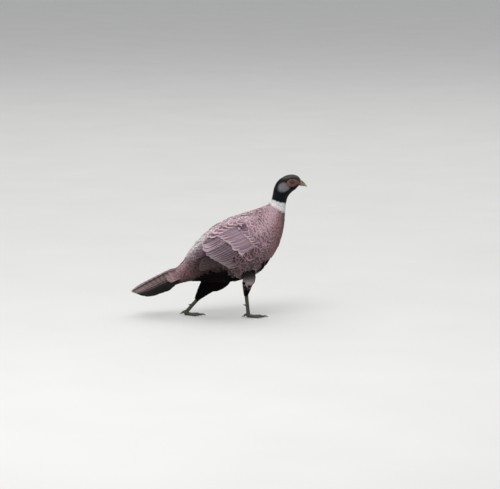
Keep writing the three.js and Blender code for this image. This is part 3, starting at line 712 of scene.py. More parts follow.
def plumage(name, surface, way, roots, sizes, lie, paint, maps, material, draw, grid, fray, lifted,
            floor=None):
    """One mesh of body feathers. roots are places (p, q) on a surface where p grows (way 1) or falls
    (way -1) towards the tips, sizes are length, width and depth of the coat, lie turns each feather
    downwards, maps is the OFBake place of each root, lifted is how far tips may stand up, and
    floor(p, q) lifts the ground under them."""
    count = len(roots[0])
    rows, columns = grid
    along_all = np.linspace(0, 1, rows)
    across_all = np.sin(np.linspace(-np.pi / 2, np.pi / 2, columns))
    s = along_all[None, :, None]
    c = across_all[None, None, :]
    each = (*roots, *sizes, lie, side_of(roots[1]))
    p, q, length, width, depth, lie, side = (np.asarray(x, float)[:, None, None] for x in each)
    ragged = draw.uniform(-1, 1, (count, rows, columns)) * fray
    tilt = draw.uniform(-0.1, 0.1, (count, 1, 1))
    lift = draw.uniform(0, 1, (count, 1, 1)) * lifted
    profile = breadth(s, 0.42, 0.62) * (1 - 0.12 * ramp(0.8, 1, s))
    along = length * (s * (1 - TIP_ROUND * (1 - np.sqrt(1 - c**2)) * s**1.5) + 0.25 * ragged * (s == 1))
    across = 0.58 * width * c * profile * (1 + ragged * (np.abs(c) == 1))
    sunk = depth + ROOT_SINK
    arched = 0.16 * width * (c * profile) ** 2
    up = sunk * (1 - (1 - s) ** 1.7) - sunk + lift * s**2 - arched + tilt * across
    under = up - VANE_THICK * (1 - c**2) * 4 * s * (1 - s)
    turned = np.radians(lie) * side
    per_p, _ = scale_at(surface, p[:, 0, 0], q[:, 0, 0])
    middle = p[:, 0, 0] + way * 0.45 * length[:, 0, 0] / np.maximum(per_p, 1)
    per_p, per_q = (np.maximum(x, 0.02)[:, None, None] for x in scale_at(surface, middle, q[:, 0, 0]))
    at_p = p + way * (along * np.cos(turned) - across * np.sin(turned)) / per_p
    at_q = q + (along * np.sin(turned) + across * np.cos(turned)) / per_q
    ground = floor(at_p, at_q) if floor else 0.0

    def patch(along_feather, across_feather):
        place = np.stack([0.5 * across_feather, along_feather - 0.5], -1)
        return np.asarray(maps)[:, None, :] + TUFT_PATCH * place

    return feathers(name, surface(at_p, at_q, up + ground), surface(at_p, at_q, under + ground),
                    along_all, across_all, patch, paint, material, draw)


def body_coat():
    """The feathers of body, neck and head, as a few pieces."""
    draw = numbers_for("coat")

    def spacing(u, turn):
        length, width, _ = coat_at(u, turn)
        return ROW_GAP * length, SIDE_GAP * width

    u, turn = roots_over(body, COAT_START, COAT_END, spacing, draw)
    t = down_from_back(turn)
    upper, lower = wing_edges(u)
    low_edge = lower - 9 + 16 * (1 - ramp(3.4, 4.4, u))
    behind_front = u < np.where(t < 50, 5.3, 5.75)
    under_wing = behind_front & (u > WING_END + 0.95) & (t > upper + 1) & (t < low_edge)
    x, y = face_plane(u, t)
    ahead, behind, below, above = BARE_FACE
    bare = np.hypot(x / np.where(x > 0, ahead, behind), y / np.where(y > 0, below, above)) < 0.94
    keep = ~under_wing & ~bare
    u, turn, t = u[keep], turn[keep], t[keep]
    length, width, depth = coat_at(u, turn)
    length = length * draw.uniform(0.9, 1.12, len(u))
    width = width * draw.uniform(0.92, 1.1, len(u))
    per_u, _ = scale_at(body, u, turn)
    tip = u - 0.72 * length / np.maximum(per_u, 3)
    paint = markings(np.maximum(tip, 0.3) + 0.06 * draw.uniform(-1, 1, len(u)), turn)
    black = (u <= 5.9) & (t > 90) & (paint[:, :3].sum(1) < 0.02)
    lie = 14 * hill((u - 4.5) / 2, (t - 45) / 30) - 16 * hill((u - 4.2) / 1.8, (t - 120) / 24)
    on_body = u <= COLLAR_END
    on_rear = u <= BREAST_END
    on_back = t <= BACK_EDGE
    parts = {
        # name: which feathers, material, slot, grid and fray
        "coat_head": (u > HEAD_END, "dark_neck", "dark_neck", (5, 5), 0.1),
        "coat_neck": ((u > NECK_END) & (u <= HEAD_END), "dark_neck", "dark_neck", (6, 5), 0.1),
        "coat_collar": (~on_body & (u <= NECK_END), "plumage", "collar", (7, 7), 0.1),
        "coat_breast": (on_body & ~on_rear & ~on_back & ~black, "plumage", "plumage", (9, 9), 0.12),
        "coat_mantle": (on_body & (u > MANTLE_END) & on_back, "plumage", "plumage", (9, 9), 0.12),
        "coat_back": ((u <= MANTLE_END) & on_back, "plumage", "plumage", (10, 9), 0.16),
        "coat_flank": (on_rear & ~on_back & ~black, "plumage", "plumage", (10, 9), 0.16),
        "coat_belly": (black, "down", "plumage", (9, 9), 0.24),
    }
    for name, (there, material, slot, grid, fray) in parts.items():
        roots = (u[there], turn[there])
        sizes = (length[there], width[there], depth[there])
        made = plumage(name, body, -1, roots, sizes, lie[there], paint[there], body_map(*roots),
                       MATERIALS[material], draw, grid, fray, 0.05 * float(np.mean(sizes[0])), swell)
        dress(made, slot)


THIGH_DEPTH = 5.0 # depth of the coat at the top of a thigh
THIGH_LENGTH = (26, 11) # of its feathers at the top and at the hock
THIGH_WIDTH = (9, 4.6)
THIGH_SIDE_GAP = (7.5, 4) # between neighbours
THIGH_ROW_GAP = 0.22 # between rows, as a share of their length
THIGH_DARK = ((10, 7, 7), (22, 16, 16), (5, 4, 4), (0.4, 0.4, 0, 0))
# painted highlight: the paler colour where light falls on the front of the outer knee
THIGH_HIGHLIGHT = ((176, 160, 158), (200, 186, 184), (128, 110, 110), (0.5, 0.3, 0.1, 0))
# how strong that painted highlight is: the near right thigh is lit, the far left one in shade
KNEE_HIGHLIGHT = {"right": 0.95, "left": 0.35}


def thigh_depth(t):
    return THIGH_DEPTH * (1 - 0.6 * t / 3)


def thigh_flesh(name, t, angle):
    return thigh(name, t, angle, -thigh_depth(t))


def thigh_paint(name, t, angle):
    """The row of paint at places on a thigh: dark, with a painted highlight in front of the outer knee."""
    around = np.cos(np.radians(angle)) * SIDES[name]
    # painted highlight where the light falls on the front of the knee
    pale = ramp(0.1, 0.7, around) * hill((t - 1.35) / 0.38) * KNEE_HIGHLIGHT[name]
    return mix(paint_of(THIGH_DARK), paint_of(THIGH_HIGHLIGHT), pale[..., None])


def torso_flesh(u, turn):
    return body(u, turn, -coat_at(u, turn)[2])


def skin_sources():
    """The shapes that run together into the skin: a surface, its rows and how many columns it has, its
    paint, its OFBake map and how wide that is."""
    yield torso_flesh, np.linspace(0, FACE, 240), 144, markings, body_map, BODY_FIELD[2]
    for name in SIDES:
        surface, paint, place = (partial(way, name) for way in (thigh_flesh, thigh_paint, thigh_map))
        yield surface, np.linspace(0, 3, 60), 60, paint, place, THIGH_FIELDS[name][2]


SKIN_VOXEL = 0.0022
SKIN_SOFTEN = 4 # rounds of smoothing after the remesh


def nearest(surface, p, q, tree, points):
    """The places (p, q) of a surface that lie nearest to points. p and q are the tree's own places."""
    index = np.array([tree.find(point)[1] for point in points])
    p, q = p[index], q[index]
    here = surface(p, q)
    away = points - here
    found = []
    for value, step, far in ((p, 0.01, surface(p + 0.01, q)), (q, 0.5, surface(p, q + 0.5))):
        way = far - here
        found.append(value + step * (away * way).sum(-1) / (way * way).sum(-1))
    return found


def run_together(objects):
    """Points and four-cornered faces of one closed surface round overlapping ones, which it uses up."""
    whole = join("flesh", objects)
    remesh = whole.modifiers.new("remesh", "REMESH")
    remesh.mode = "VOXEL"
    remesh.voxel_size = SKIN_VOXEL
    whole.modifiers.new("soften", "SMOOTH").iterations = SKIN_SOFTEN
    made = whole.evaluated_get(bpy.context.evaluated_depsgraph_get()).to_mesh()
    points = np.empty(3 * len(made.vertices))
    made.vertices.foreach_get("co", points)
    faces = np.empty(len(made.loops), np.int32)
    made.loops.foreach_get("vertex_index", faces)
    bpy.data.objects.remove(whole)
    return points.reshape(-1, 3), faces.reshape(-1, 4)


def skin():
    """One skin under the coat: the outline drawn in by the coat's depth, run together with the thighs."""
    sources = []
    tubes = []
    for surface, p, columns, paint, place, period in skin_sources():
        grid_p, grid_q = np.meshgrid(p, np.linspace(0, 360, columns, endpoint=False), indexing="ij")
        grid = surface(grid_p, grid_q)
        tubes.append(add_mesh("flesh", with_hubs(grid), tube_faces(*grid_p.shape), MATERIALS["skin"]))
        tree = KDTree(grid_p.size)
        for index, point in enumerate(grid.reshape(-1, 3)):
            tree.insert(point, index)
        tree.balance()
        find = partial(nearest, surface, grid_p.ravel(), grid_q.ravel(), tree)
        sources.append((find, tree, paint, place, period))
    points, faces = run_together(tubes)
    closest = np.argmin([[source[1].find(point)[2] for point in points] for source in sources], 0)
    paints = np.empty((len(points), AMOUNTS.stop))
    uv = np.empty((*faces.shape, 2))
    for index, (find, _, paint, place, period) in enumerate(sources):
        mine = closest == index
        paints[mine] = paint(*find(points[mine]))
        mine = closest[faces[:, 0]] == index
        corners = place(*find(points[faces[mine]].reshape(-1, 3))).reshape(-1, 4, 2)
        beyond = corners[..., 0] < corners[..., 0].max(1, keepdims=True) - period / 2
        corners[..., 0] += period * beyond
        uv[mine] = corners
    obj = add_mesh("skin", points, faces, MATERIALS["skin"], paint_attributes(paints), uv)
    dress(obj, "plumage", "torso", "collar", "neck", "head", "thigh_right", "thigh_left")


def skin_material():
    n = Nodes("skin", roughness=0.7)
    fine = n.noise(700.0, 4.0)
    colour = n.shaded(n.attribute("base"), n.line(fine, 0.5, 0.6))
    return n.finish(colour, normal=n.bump(fine, 0.0004, 0.6))


def thigh_coat(name):
    """The feathers of a thigh, shorter and narrower towards the hock."""
    draw = numbers_for("thigh_" + name)
    surface = partial(thigh, name)

    def spacing(t, angle):
        row_gap = THIGH_ROW_GAP * mix(*THIGH_LENGTH, t / 3)
        return row_gap + 0 * angle, mix(*THIGH_SIDE_GAP, t / 3) + 0 * angle

    t, angle = roots_over(surface, 0.1, 2.85, spacing, draw)
    length = mix(*THIGH_LENGTH, t / 3) * draw.uniform(0.9, 1.1, len(t))
    sizes = (length, mix(*THIGH_WIDTH, t / 3), thigh_depth(t))
    tip = np.minimum(t + 0.6 * length / np.maximum(scale_at(surface, t, angle)[0], 1), 3)
    obj = plumage("coat_thigh_" + name, surface, 1, (t, angle), sizes, np.zeros(len(t)),
                  thigh_paint(name, tip, angle), thigh_map(name, t, angle), MATERIALS["down"], draw,
                  (7, 7), 0.2, 1.0)
    dress(obj, "thigh")


# Long vanes of wings and tail. Columns are shares of the half width, closer together at the shaft.
VANE_COLUMNS = np.array(
    [-1, -0.96, -0.84, -0.62, -0.36, -0.13, -0.045, 0, 0.045, 0.13, 0.36, 0.62, 0.84, 0.96, 1])
LONG_THICK = 0.5
STRIPS = 16 # strips for one vane each in a row of the OFBake map


def vanes(name, place, half, inner, paint, first, material, draw, tip, end, rows=26, widest=0.65,
          shaft=0.4, camber=0.006, fray=0.05):
    """One mesh of long feathers. place(s, across, up) gives their points, half and inner are half the
    width of each on its open and its tucked side, tip says how far and how sharply it rounds, end is
    its width there, and first is its first strip on the OFBake map."""
    count = len(half)
    half, inner = (np.asarray(x, float)[:, None, None] for x in (half, inner))
    along_all = np.linspace(0, 1, rows)
    s = along_all[None, :, None]
    c = VANE_COLUMNS[None, None, :]
    ragged = draw.uniform(-1, 1, (count, rows, len(VANE_COLUMNS)))
    notch = draw.uniform(0, 1, ragged.shape) < 0.06
    profile = breadth(s, 0.5, widest) - (1 - end) * ramp(widest, 1.1, s)
    fringe = (np.abs(c) == 1) * (fray * ragged + 2.5 * fray * notch)
    across = np.where(c < 0, inner, half) * profile * c * (1 - fringe)
    along = s - tip[0] * (1 - np.sqrt(1 - c**2)) * s ** tip[1] - 0.15 * fray * (s == 1) * (1 + ragged)
    ridge = shaft * np.maximum(0, 1 - np.abs(c) / 0.1) * (1 - 0.75 * s)
    top = LONG_THICK * (1 - c**2) * np.minimum(1, 6 * (1 - s)) + ridge - camber * across**2
    under = -camber * across**2 - 0.3 * ridge
    return feathers(name, place(along, across, top), place(along, across, under), along_all, VANE_COLUMNS,
                    partial(vane_maps, first, count), paint, material, draw)


def vane_maps(first, count, along, across):
    """Each vane's own strip on the OFBake map, counted from the given first strip."""
    row, column = np.divmod(first + np.arange(count)[:, None], STRIPS)
    return in_field((0.02 + 0.06 * column, 0.02 + 0.16 * row, 0.054, 0.15), (across + 1) / 2, along)


PRIMARY = ((58, 41, 46), (92, 74, 76), (34, 23, 27), (0.3, 0, 0.3, 0.5))
SECONDARY = ((138, 114, 124), (196, 176, 182), (92, 68, 80), (0.5, 0, 0.35, 0.45))
TERTIAL = ((144, 119, 131), (200, 178, 184), (92, 65, 78), (0.5, 0.6, 0.4, 0.2))
GREATER = ((152, 128, 140), (198, 174, 182), (100, 74, 88), (0.45, 0.3, 0.45, 0))
MEDIAN = ((156, 129, 141), (202, 174, 182), (98, 67, 81), (0.4, 0.7, 0.4, 0))
SCAPULAR = ((184, 152, 160), (214, 188, 194), (114, 78, 91), (0.42, 0.85, 0.3, 0))

# Darker fields of the folded wing: station and degrees from the back, reach, and what is left of red,
# green and blue.
WING_FIELDS = [
    (4.65, 56, 0.6, 12, (0.32, 0.25, 0.32)),
    (2.8, 68, 0.3, 14, (0.56, 0.54, 0.56)),
    (3.2, 112, 0.9, 17, (0.42, 0.4, 0.41)),
    (4.9, 112, 0.7, 16, (0.72, 0.68, 0.7)),
    # painted shade in the slit between the pale tips of the secondaries and the feathers above them
    (3.0, 88, 0.5, 16, (0.5, 0.47, 0.49)),
]


def wing_tone(u, t):
    """What is left of a wing feather's colours in the darker fields."""
    tone = np.ones((*np.shape(u), 3))
    for at_u, at_t, reach_u, reach_t, left in WING_FIELDS:
        near = hill((u - at_u) / reach_u, (t - at_t) / reach_t)
        tone = tone * mix(1, np.array(left), near[..., None])
    return np.tile(tone, 3)


# Tiers of the folded wing, lowest vane first: stations and degrees from the back of the roots and the
# tips of the lowest and the highest vane, half the width, the height over the outline at root and tip,
# how much the lower edge stands out, and the looks.
WING_TIERS = {
    "primaries": (6, (3.9, 3.7), (100, 82), (1.85, 2.2), (94, 76), 7, (2.2, 1.9), 0.16, PRIMARY),
    "secondaries": (12, (4.5, 4.05), (109, 66), (3.05, 2.6), (108, 64), 9, (3.6, 3.8), 0.18, SECONDARY),
    "tertials": (5, (4.2, 4.05), (62, 46), (2.6, 2.75), (58, 42), 10, (4.4, 4.8), 0.17, TERTIAL),
    "greater_coverts": (12, (5.2, 4.85), (109, 53), (4.0, 3.5), (109, 49), 8, (6.0, 8.0), 0.13, GREATER),
    "median_coverts": (12, (5.85, 5.5), (107, 52), (4.95, 4.45), (109, 49), 7.5, (7.2, 9.6), 0.13, MEDIAN),
    "inner_scapulars": (5, (4.5, 5.5), (37, 37), (3.1, 4.2), (34, 34), 10, (1.6, 6.4), 0.3, SCAPULAR),
    "outer_scapulars": (6, (4.6, 5.9), (44, 44), (3.2, 4.6), (40, 40), 10, (2.0, 8.6), 0.32, SCAPULAR),
}
WRIST = 6.35
ARM_END = 3
ARM_HEIGHT = 9.5


def arm_height(u, turn):
    """How far the arm of the folded wing stands out from the outline, and 0 beside it."""
    t = down_from_back(turn)
    a = np.clip((WRIST - np.asarray(u, float)) / (WRIST - ARM_END), 0, 1)
    upper, lower = arm_edges(a)
    b = np.clip((t - upper) / (lower - upper), 0, 1)
    along = np.minimum(np.minimum(1, 0.12 + 4.4 * a), 1.32 - 1.12 * a)
    return ARM_HEIGHT * along * (4 * b * (1 - b)) ** 0.4 * (a > 0) * (a < 1)


def wing_place(side, root_u, root_t, tip_u, tip_t, lift, tilt):
    """The place of a tier's points. Roots and tips are (count, 1, 1) arrays."""

    def place(along, across, up):
        u = mix(root_u, tip_u, along)
        turn = mix(root_t, tip_t, along)
        per_u, per_turn = scale_at(body, u, turn)
        run_u, run_turn = (tip_u - root_u) * per_u, (tip_t - root_t) * per_turn
        size = np.hypot(run_u, run_turn)
        at_u = u + run_turn / size * across / per_u
        at_turn = turn - run_u / size * across / per_turn
        return body(at_u, side * at_turn, mix(*lift, along) + tilt * across + up)

    return place


def wing(name):
    """The folded wing: a smooth arm, tiers of long vanes and rows of lesser coverts over its front."""
    draw = numbers_for("wing_" + name)
    made = []
    first = 0
    for tier, (count, root, root_turn, tip, tip_turn, half, lift, tilt, looks) in WING_TIERS.items():
        share = np.linspace(0, 1, count)[:, None, None]
        root_u, root_t, tip_u, tip_t = (mix(*ends, share) for ends in (root, root_turn, tip, tip_turn))
        tip_u = tip_u + 0.05 * draw.uniform(-1, 1, tip_u.shape)
        tip_t = tip_t + 0.8 * draw.uniform(-1, 1, tip_t.shape)
        tone = 1 + 0.12 * draw.uniform(-1, 1, (count, 1))
        seen_u, seen_t = (mix(a[:, 0, 0], b[:, 0, 0], 0.75) for a, b in ((root_u, tip_u), (root_t, tip_t)))
        paint = plain(looks, count)
        paint[:, TONES] *= tone * wing_tone(seen_u, seen_t + 4)
        halves = half * draw.uniform(0.94, 1.06, count)
        place = wing_place(SIDES[name], root_u, root_t, tip_u, tip_t, lift, tilt)
        tip_shape, end = ((0.12, 6), 0.75) if tier == "primaries" else ((0.15, 5), 0.95)
        made.append(vanes(f"{tier}_{name}", place, halves, halves, paint, first, MATERIALS["wing"], draw,
                          tip_shape, end))
        first += count
    made.append(arm(name))
    dress(join("wing_feathers_" + name, made), "wing", "wing_" + name)
    lesser_coverts(name, draw)


def arm(name):
    """A closed shell over the wing's arm, under its coverts."""
    side = SIDES[name]
    a, b = np.meshgrid(np.linspace(0.004, 0.996, 50), np.linspace(0, 1, 40), indexing="ij")
    upper, lower = arm_edges(a)
    u = WRIST + (ARM_END - WRIST) * a
    turn = mix(upper, lower, b)
    top = body(u, side * turn, 0.8 * arm_height(u, turn) - 0.4)
    bottom = body(u, side * turn, -4.0)
    rim = np.ones(u.shape, bool)
    rim[1:-1, 1:-1] = False
    bottom[rim] = top[rim]
    quads = grid_faces(*u.shape)
    faces = np.concatenate([quads, quads[:, ::-1] + u.size])
    paint = plain(MEDIAN, 2 * u.size)
    # painted shade: the shell is darker than its coverts, for the shade seen in the gaps between them
    paint[:, TONES] *= 0.6
    attributes = paint_attributes(paint)
    attributes["lie"] = np.full((2 * u.size, 3), 0.5)
    uv = np.tile(in_field(ARM_FIELD, b, a).reshape(-1, 2), (2, 1))
    points = np.concatenate([top.reshape(-1, 3), bottom.reshape(-1, 3)])
    return add_mesh("arm_" + name, points, faces, MATERIALS["wing"], attributes, uv)


LESSER = ((172, 143, 153), (206, 178, 185), (132, 98, 111), (0.45, 0.4, 0.3, 0))
LESSER_REACH = (6.75, 5.3) # stations where their rows start and end
LESSER_GAPS = (5.0, 6.4) # between rows and between neighbours
LESSER_DEPTH = 1.4
LESSER_LIE = -8.0 # degrees by which they turn downwards


def wing_floor(u, turn):
    return np.maximum(swell(u, turn), arm_height(u, turn))


def lesser_coverts(name, draw):
    """Rows of small feathers over the front of the folded wing."""

    def spacing(u, turn):
        return LESSER_GAPS[0] + 0 * u, LESSER_GAPS[1] + 0 * turn

    u, turn = roots_over(body, *LESSER_REACH, spacing, draw, turns=721)
    t = down_from_back(turn)
    upper, lower = wing_edges(u - 0.25)
    here = (side_of(turn) == SIDES[name]) & (t > upper - 3) & (t < lower + 1)
    u, turn, t = u[here], turn[here], t[here]
    count = len(u)
    forward = ramp(5.4, 6.6, u)
    length = mix(17, 13, forward) * draw.uniform(0.9, 1.1, count)
    width = mix(9.5, 7.5, forward) * draw.uniform(0.92, 1.08, count)
    paint = plain(LESSER, count)
    paint[:, TONES] *= wing_tone(u - 0.2, t)
    obj = plumage("coat_wing_" + name, body, -1, (u, turn), (length, width, np.full(count, LESSER_DEPTH)),
                  np.full(count, LESSER_LIE), paint, body_map(u, turn), MATERIALS["plumage"], draw,
                  (9, 9), 0.1, 1.0, wing_floor)
    dress(obj, "wing")


# Tail, half grown: nine pairs of vanes under one another like a steep roof, the middle pair on top.
# Lengths run along the ridge, and drops are square to it.
RIDGE = np.array([
    (-90, 128), (-121, 123.5), (-151, 113.5), (-181, 98.5), (-209, 83.5), (-233, 66.5)])
TAIL_PAIRS = 9
TAIL_LENGTH = (158, 134) # of the middle and of the outermost pair
TAIL_SPACING = (3, 5.5) # between neighbours at the root and TAIL_SPREAD behind it
TAIL_SPREAD = 58
TAIL_CLOSING = 0.68 # how much they close up again towards the tip
TAIL_TILT = 0.33 # radians by which a vane lies flatter than the roof
TAIL_STREAK = 0.4 # how much darker the vanes next to the middle pair are
TAIL = ((146, 124, 123), (172, 148, 150), (74, 56, 58), (0.4, 0, 0.35, 0.6))
TAIL_OUTER = ((15, 11, 10), (30, 22, 21), (8, 5, 5), (0.3, 0, 0.2, 0.5))
TAIL_JOIN = ((142, 112, 113), (168, 140, 142), (76, 54, 58), (0.45, 0.3, 0.3, 0.3))
TAIL_COVERT = ((146, 109, 112), (174, 141, 143), (84, 54, 60), (0.5, 0.6, 0.3, 0))
TAIL_ROWS = [
    # name, pairs, lengths, heights over the roof, half the width, looks inside and outside, and the
    # rows of points, tip and end of its vanes
    ("tail_vanes", np.arange(TAIL_PAIRS), TAIL_LENGTH, 0.0, 12, TAIL, TAIL_OUTER, 44, (0.1, 7), 0.72),
    ("lower_coverts", np.arange(0.3, 6.5, 0.8), (60, 46), 2.4, 9, TAIL_JOIN, TAIL_JOIN, 26, (0.16, 5), 0.9),
    ("upper_coverts", np.arange(0.6, 6.5, 0.8), (47, 36), 4.2, 8.5, TAIL_COVERT, TAIL_COVERT, 26,
     (0.16, 5), 0.9),
]


def roll_at(pair):
    """How steeply the roof falls at a vane, counted in pairs from the middle."""
    share = np.maximum(0, pair) / (TAIL_PAIRS - 1)
    return np.radians(mix(20, 90, share**0.85))


def roof_place(pair, spacing):
    """Where vanes' middle lines lie across the roof: aside and down."""
    aside, down = 0.5 * spacing, 0.0
    for k in np.arange(0, TAIL_PAIRS, 0.2):
        near = 0.2 * (k < pair - 1e-6)
        aside = aside + near * spacing * np.cos(roll_at(k))
        down = down + near * spacing * np.sin(roll_at(k))
    return aside, down


def tail_place(side, pair, length, out):
    """The place of tail vanes' points: out is a height over the roof. All are (count, 1, 1) arrays."""
    full = TAIL_LENGTH[0]

    def ridge(along):
        return smooth(RIDGE, along / full * (len(RIDGE) - 1))

    def place(s, across, up):
        along = s * length
        open_ = mix(TAIL_SPACING[0], TAIL_SPACING[1], np.minimum(1, along / TAIL_SPREAD))
        spacing = open_ * (1 - TAIL_CLOSING * np.maximum(0, along / full - 0.38))
        bend = (roll_at(pair + 0.5) - roll_at(pair - 0.5)) / (2 * spacing)
        lean = roll_at(pair) - TAIL_TILT
        outward = out + up - bend * across**2
        aside, drop = roof_place(pair, spacing)
        down = drop + across * np.sin(lean) - outward * np.cos(lean)
        middle = ridge(along)
        back = ridge(along + 1) - middle
        back = back / np.linalg.norm(back, axis=-1, keepdims=True)
        x = middle[..., 0] - down * back[..., 1]
        y = side * (aside + across * np.cos(lean) + outward * np.sin(lean))
        z = middle[..., 1] + down * back[..., 0]
        return MM * np.stack(np.broadcast_arrays(x, y, z), -1) + shift

    return place


def tail():
    """All the tail's vanes and coverts in one piece."""
    draw = numbers_for("tail")
    made = []
    first = 0
    for name, pairs, lengths, out, half, looks, outer_looks, rows, tip, end in TAIL_ROWS:
        count = len(pairs)
        share = pairs / (TAIL_PAIRS - 1)
        for side in (RIGHT, LEFT):
            top = (pairs == pairs[0]) & (side == RIGHT)
            length = mix(*lengths, share) + 2 * draw.uniform(-1, 1, count)
            spacing = TAIL_SPACING[0] + (out > 0)
            inner = np.where(top, 6, 0.85 * roof_place(pairs, spacing)[0])
            shaped = [x[:, None, None] for x in (pairs, length, out + 1.7 * top)]
            paint = mix(paint_of(looks), paint_of(outer_looks), ramp(0.15, 0.68, share)[:, None])
            paint[:, TONES] *= 1 - TAIL_STREAK * hill((share - 0.16) / 0.1)[:, None]
            made.append(vanes(f"{name}_{side}", tail_place(side, *shaped), np.full(count, float(half)),
                              np.minimum(inner, half), paint, first, MATERIALS["tail"], draw, tip, end,
                              rows, widest=0.75, shaft=0.5, camber=0.0, fray=0.04))
            first += count
    dress(join("tail_feathers", made), "tail", "tail")


# Face: an eye in a ring of lids with the bare wattle round it, all on both sides.
WATTLE = {"front": 31, "back": 15, "up": 9.5, "down": 13}
PAPILLA_SPACING = 1.15
# Top of the lids and the wattle from the eye outwards: distance from its middle and height.
LIDS = np.array([
    (4.1, -0.5), (4.25, 0.15), (4.7, 0.75), (5.2, 0.95), (5.7, 0.75), (6.1, 0.95), (6.6, 1.0), (7.1, 0.8)])


def wattle(name):
    """The lids' folds and the wattle's papillae, as one closed ring round the eye."""
    side = SIDES[name]
    draw = numbers_for("wattle")
    spokes, rings = 320, 70
    angle = np.linspace(0, 2 * np.pi, spokes, endpoint=False)[:, None]
    ahead, below = np.cos(angle), np.sin(angle)
    long = np.where(ahead > 0, WATTLE["front"], WATTLE["back"])
    tall = np.where(below > 0, WATTLE["down"], WATTLE["up"])
    reach = 1 / np.hypot(ahead / long, below / tall)
    reach = reach * (1 + 0.03 * np.sin(3 * angle + 1) + 0.02 * np.sin(7 * angle))
    lids = LIDS[:, 0][None, :] + 0 * angle
    share = np.linspace(0, 1, rings)[1:][None, :]
    out = np.hstack([lids, LIDS[-1, 0] + (reach - LIDS[-1, 0]) * share])
    x, y = ahead * out, below * out
    edge = np.clip((out - LIDS[-1, 0]) / (reach - LIDS[-1, 0]), 0, 1)
    field = 0.9 + 0.35 * np.sin(np.pi * edge) - 1.7 * ramp(0.9, 1.0, edge)
    lift = np.where(out <= LIDS[-1, 0], np.interp(out, LIDS[:, 0], LIDS[:, 1]), field - 0.1)
    folds = 0.06 * np.sin(out * 2 * np.pi / 0.62) * ramp(4.3, 4.8, out) * (1 - ramp(6.8, 7.6, out))
    papillae = bubbles(x, y, PAPILLA_SPACING, draw) * ramp(0.0, 0.12, edge) * (1 - ramp(0.88, 1, edge))
    lift = lift + folds + 0.5 * papillae
    under = np.stack([reach[:, 0] - 0.6, np.full(spokes, 5.6)], -1)
    out_under = ahead * under, below * under
    x, y = np.hstack([x, out_under[0]]), np.hstack([y, out_under[1]])
    lift = np.hstack([lift, np.full((spokes, 2), -1.6)])
    per_u, per_turn = eye_scale()
    points = body(EYE["u"] + x / per_u, side * (EYE["turn"] + y / per_turn), lift)
    bumps = np.hstack([papillae, np.zeros((spokes, 2))])
    lid = np.hstack([1 - ramp(6.2, 7.4, out), np.ones((spokes, 2))])
    faces = grid_faces(spokes, x.shape[1], wrap=True, wrap_rows=True)
    obj = add_mesh("wattle_skin_" + name, points, faces, MATERIALS["wattle"],
                   {"bump": bumps.ravel(), "lid": lid.ravel()})
    dress(obj, "wattle", "wattle_" + name)


def bubbles(x, y, spacing, draw):
    """Round bumps of 0 to 1 at jittered places of a grid over a plane, at points of that plane."""
    best = np.zeros(x.shape)
    for row in range(-16, 17):
        for column in np.arange(-18, 34) * spacing:
            px = column + 0.5 * spacing * (row % 2) + 0.25 * draw.uniform(-1, 1)
            py = row * spacing * 0.87 + 0.25 * draw.uniform(-1, 1)
            size = 0.52 * spacing * draw.uniform(0.75, 1.1)
            near = np.maximum(0, 1 - ((x - px) ** 2 + (y - py) ** 2) / size**2)
            best = np.maximum(best, np.sqrt(near))
    return best


def wattle_material():
    n = Nodes("wattle", roughness=0.5, subsurface_weight=0.12, subsurface_scale=0.002)
    bump = n.attribute("bump", 2)
    broad = n.noise(260.0, 3.0)
    colour = n.mix(bump, (66, 38, 34), (128, 82, 72))
    colour = n.mix(n.step(0.45, 0.7, broad), colour, (96, 60, 52))
    colour = n.mix(n.math("MULTIPLY", n.attribute("lid", 2), 0.75), colour, (78, 60, 54))
    return n.finish(colour, n.line(bump, -0.15, 0.6), n.bump(n.noise(2600.0, 2.0), 0.0001, 0.5))


def eye(name):
    """An eyeball with its pupil, set as in the solid."""
    side = SIDES[name]
    middle = body(EYE["u"], side * EYE["turn"], -EYE["sink"])
    outward = body(EYE["u"], side * EYE["turn"], 10.0) - middle
    outward = outward / np.linalg.norm(outward)
    first = np.cross(outward, [0, 0, 1.0])
    first = first / np.linalg.norm(first)
    second = np.cross(outward, first)
    polar = np.radians(np.linspace(2, 178, 60))[:, None]
    around = np.radians(np.arange(0, 360, 5))[None, :]
    off = np.degrees(polar) + 0 * around
    cornea = 1 + 0.05 * hill(off / 32)
    parts = [np.cos(polar) + 0 * around, np.sin(polar) * np.cos(around), np.sin(polar) * np.sin(around)]
    ball = sum(part[..., None] * way for part, way in zip(parts, (outward, first, second)))
    points = middle + MM * (EYE["radius"] - 0.15) * cornea[..., None] * ball
    obj = add_mesh("eyeball_" + name, with_hubs(points), tube_faces(*off.shape), MATERIALS["eye"],
                   {"off": with_hubs(off)})
    dress(obj, "eye", "eye_" + name)


def eye_material():
    n = Nodes("eye", 0.1, roughness=0.2, coat_weight=0.6, coat_roughness=0.02)
    angle = n.attribute("off", 2)
    streak = n.noise(1500.0, 3.0)
    iris = n.mix(streak, (54, 29, 16), (92, 50, 26))
    iris = n.mix(n.step(26.0, 33.0, angle), iris, (30, 19, 14))
    colour = n.mix(n.fall(18.0, 19.5, angle), iris, (3, 3, 3))
    colour = n.mix(n.step(34.0, 37.0, angle), colour, (46, 40, 38))
    return n.finish(colour)


BILL = {"x": 216, "z": 354.2, "length": 19.5, "fall": 3.2, "curve": 5.2, "width": 6.6, "height": 11,
        "under": 4.6}
NOSTRIL = {"t": 0.3, "angle": 40}


